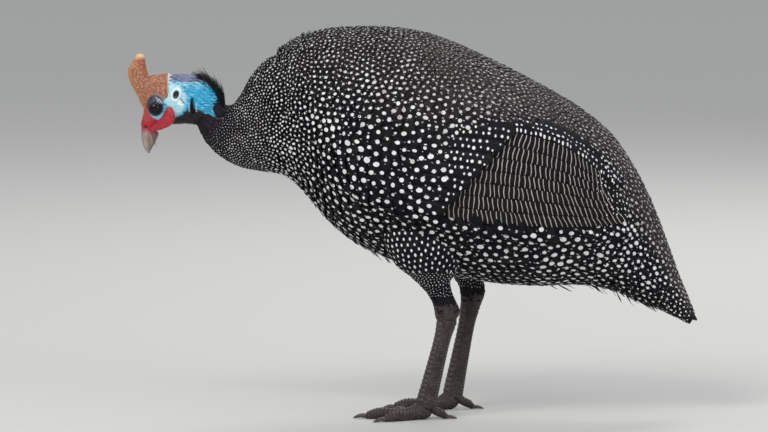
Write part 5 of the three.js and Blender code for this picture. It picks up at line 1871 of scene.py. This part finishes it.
def make_toe(leg, name, toe):
    """One toe with its plates, and its claw."""
    label, turn, length, half, hind = toe
    way = math.radians(-turn * leg["side"] + leg["turn"])
    ahead = np.array([-math.cos(way), math.sin(way), 0])
    hub = np.array([leg["foot"][0], leg["side"] * leg["foot_y"], 0])
    under = 0.95 * math.cos(math.pi / 8)
    joints = []
    for reach, share, rise, rise_hind in TOE_JOINTS:
        run = (0.12 + 0.88 * reach if hind else reach) * length
        height = share * half * under - 0.35 + (rise_hind if hind else rise)
        joints.append((*(hub + ahead * run)[:2], height, share * half))
    line = through(joints, 14)
    path, radius = line[:, :3], line[:, 3]
    pads = 1 + 0.06 * np.sin(np.linspace(0, 1, len(line)) * (9 if not hind else 5))
    radii = np.stack([radius, radius * 0.95], -1) * pads[:, None]
    skin, across, up = swept(f"toe_{label}_{name}", path, radii, SCALE, 28)

    def over(f, a, stand):
        f, a, stand = np.broadcast_arrays(f, a, stand)
        along = np.linspace(0, 1, len(path))

        def pick(values):
            return np.stack([np.interp(0.08 + 0.90 * f, along, column) for column in values.T], -1)

        r = pick(radii)
        beside = pick(across) * ((r[..., 0] + stand) * np.sin(a))[..., None]
        return pick(path) + beside + pick(up) * ((r[..., 1] + stand) * np.cos(a))[..., None]

    plates = scute_plates(f"toe_scutes_{label}_{name}", int(length / 2.6), over, 1.0, SCUTE, 3, 7)
    size = 0.8 if hind else 1.0
    tip = path[-1]
    rows = []
    for reach, r, rise in CLAW_RINGS:
        here = tip + ahead * (0.7 + reach * 9 * size)
        rows.append((here[0], here[1], max(tip[2] + rise, r * size + 0.2), r * size))
    rows = through(rows, 8)
    claw_radii = np.stack([rows[:, 3], rows[:, 3] * 0.95], -1)
    claw, _, _ = swept(f"claw_{label}_{name}_horn", rows[:, :3], claw_radii, CLAW, 20)
    return [skin, plates], (claw, f"claw_{label}_{name}")


def make_leg(name):
    """The pieces of one leg: the drumstick's skin, coat and spots, the scaled parts, and the claws."""
    leg = LEGS[name]
    drum = Form(leg["drumstick"], 2.1, sideways=leg_bend(leg))
    skin = drumstick_skin(drum, name)
    coat = drumstick_coat(drum, name)
    rims = drumstick_spots(drum, coat)
    scales, claws = make_shank(leg, name), []
    for toe in TOES:
        parts, claw = make_toe(leg, name, toe)
        scales += parts
        claws.append(claw)
    return skin, coat, rims, scales, claws


# Put it all together

def own(pieces):
    """Every piece rides the one body."""
    for piece in pieces:
        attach(piece, "root")
    return pieces


skin = make_skin()
own([skin])
skin_tree = surface_of([skin])
under_spots = own(dress_body())
rims = []
for side, label in ((LEFT, "left"), (RIGHT, "right")):
    wing, wing_rims = dress_wing(side, label)
    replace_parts(own(wing)[0], f"wing_{label}")
    under_spots += [piece for piece in wing if "bars" not in piece.name]
    tail, tail_rims = dress_tail(side, label)
    own(tail)
    if side == LEFT:
        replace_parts(tail[0], "tail")
    globe = make_globe(side, label)
    own([globe])
    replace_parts(globe, f"eye_{label}")
    own([make_lids(side, label, skin_tree)])
    wattle = make_wattle(side, label)
    own([wattle])
    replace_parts(wattle, f"wattle_{label}")
    leg_skin, coat, leg_rims, scales, claws = make_leg(label)
    own([leg_skin])
    own(coat)
    own(scales)
    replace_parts(leg_skin, f"drumstick_{label}")
    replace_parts(scales[0], f"foot_{label}")
    for claw, cad in claws:
        own([claw])
        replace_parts(claw, cad)
    rims += [wing_rims, tail_rims, leg_rims]
loose = own(dress_loose())
under_spots += [piece for piece in loose if "ruffled" in piece.name]
row_rims = np.concatenate(rims)
coat_tree = surface_of(under_spots)
own([body_spots(coat_tree), fine_spots(coat_tree)])
row_tone = np.clip(rng.normal(0.12, 0.1, len(row_rims)), 0, 1)
own([spots_object("white_row_spots", row_rims, row_tone)])
own([make_plume(), *make_bristles()])
casque = own(make_casque())
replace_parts(casque[0], "casque")
upper, lower = own(make_bill())
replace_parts(upper, "bill_upper")
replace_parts(lower, "bill_lower")
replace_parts(skin, "head", "neck", "torso")


# Studio

def studio():
    """A pale floor and three soft lamps."""
    scene = bpy.context.scene
    world = bpy.data.worlds.new("studio")
    scene.world = world
    world.use_nodes = True
    back = world.node_tree.nodes["Background"]
    back.inputs["Color"].default_value = (0.86, 0.88, 0.90, 1)
    back.inputs["Strength"].default_value = 0.62
    bpy.ops.mesh.primitive_plane_add(size=14, location=(0, 0, 0))
    floor = bpy.context.active_object
    floor.name = "studio_floor"
    grey, _, principled = shader("studio_floor", 0.9, 0.2)
    principled.inputs["Base Color"].default_value = (0.62, 0.62, 0.60, 1)
    floor.data.materials.append(grey)
    lights = [
        ("key", (-0.9, -1.5, 1.7), 26, 0.9, (1.0, 0.98, 0.95)),
        ("fill", (1.4, -1.3, 0.9), 9, 1.2, (0.94, 0.97, 1.0)),
        ("rim", (0.6, 1.5, 1.6), 16, 0.9, (1.0, 1.0, 1.0)),
    ]
    for name, place, power, size, colour in lights:
        data = bpy.data.lights.new(name, "AREA")
        data.energy, data.size, data.color = power, size, colour
        lamp = bpy.data.objects.new(name, data)
        scene.collection.objects.link(lamp)
        lamp.location = place
        lamp.rotation_euler = (Vector((0, 0, 0.15)) - Vector(place)).to_track_quat("-Z", "Y").to_euler()


def camera():
    """A long lens on the bird's left side, five degrees above it."""
    scene = bpy.context.scene
    data = bpy.data.cameras.new("view")
    obj = bpy.data.objects.new("view", data)
    scene.collection.objects.link(obj)
    data.sensor_width = 36
    data.lens = 300
    data.clip_end = 50
    target = Vector((-0.0205, 0, 0.1433))
    distance = 0.553 * data.lens / data.sensor_width
    tilt = math.radians(5)
    obj.location = target + Vector((0, -math.cos(tilt), math.sin(tilt))) * distance
    obj.rotation_euler = (target - obj.location).to_track_quat("-Z", "Y").to_euler()
    scene.camera = obj
    scene.view_settings.view_transform = "Standard"


studio()
camera()
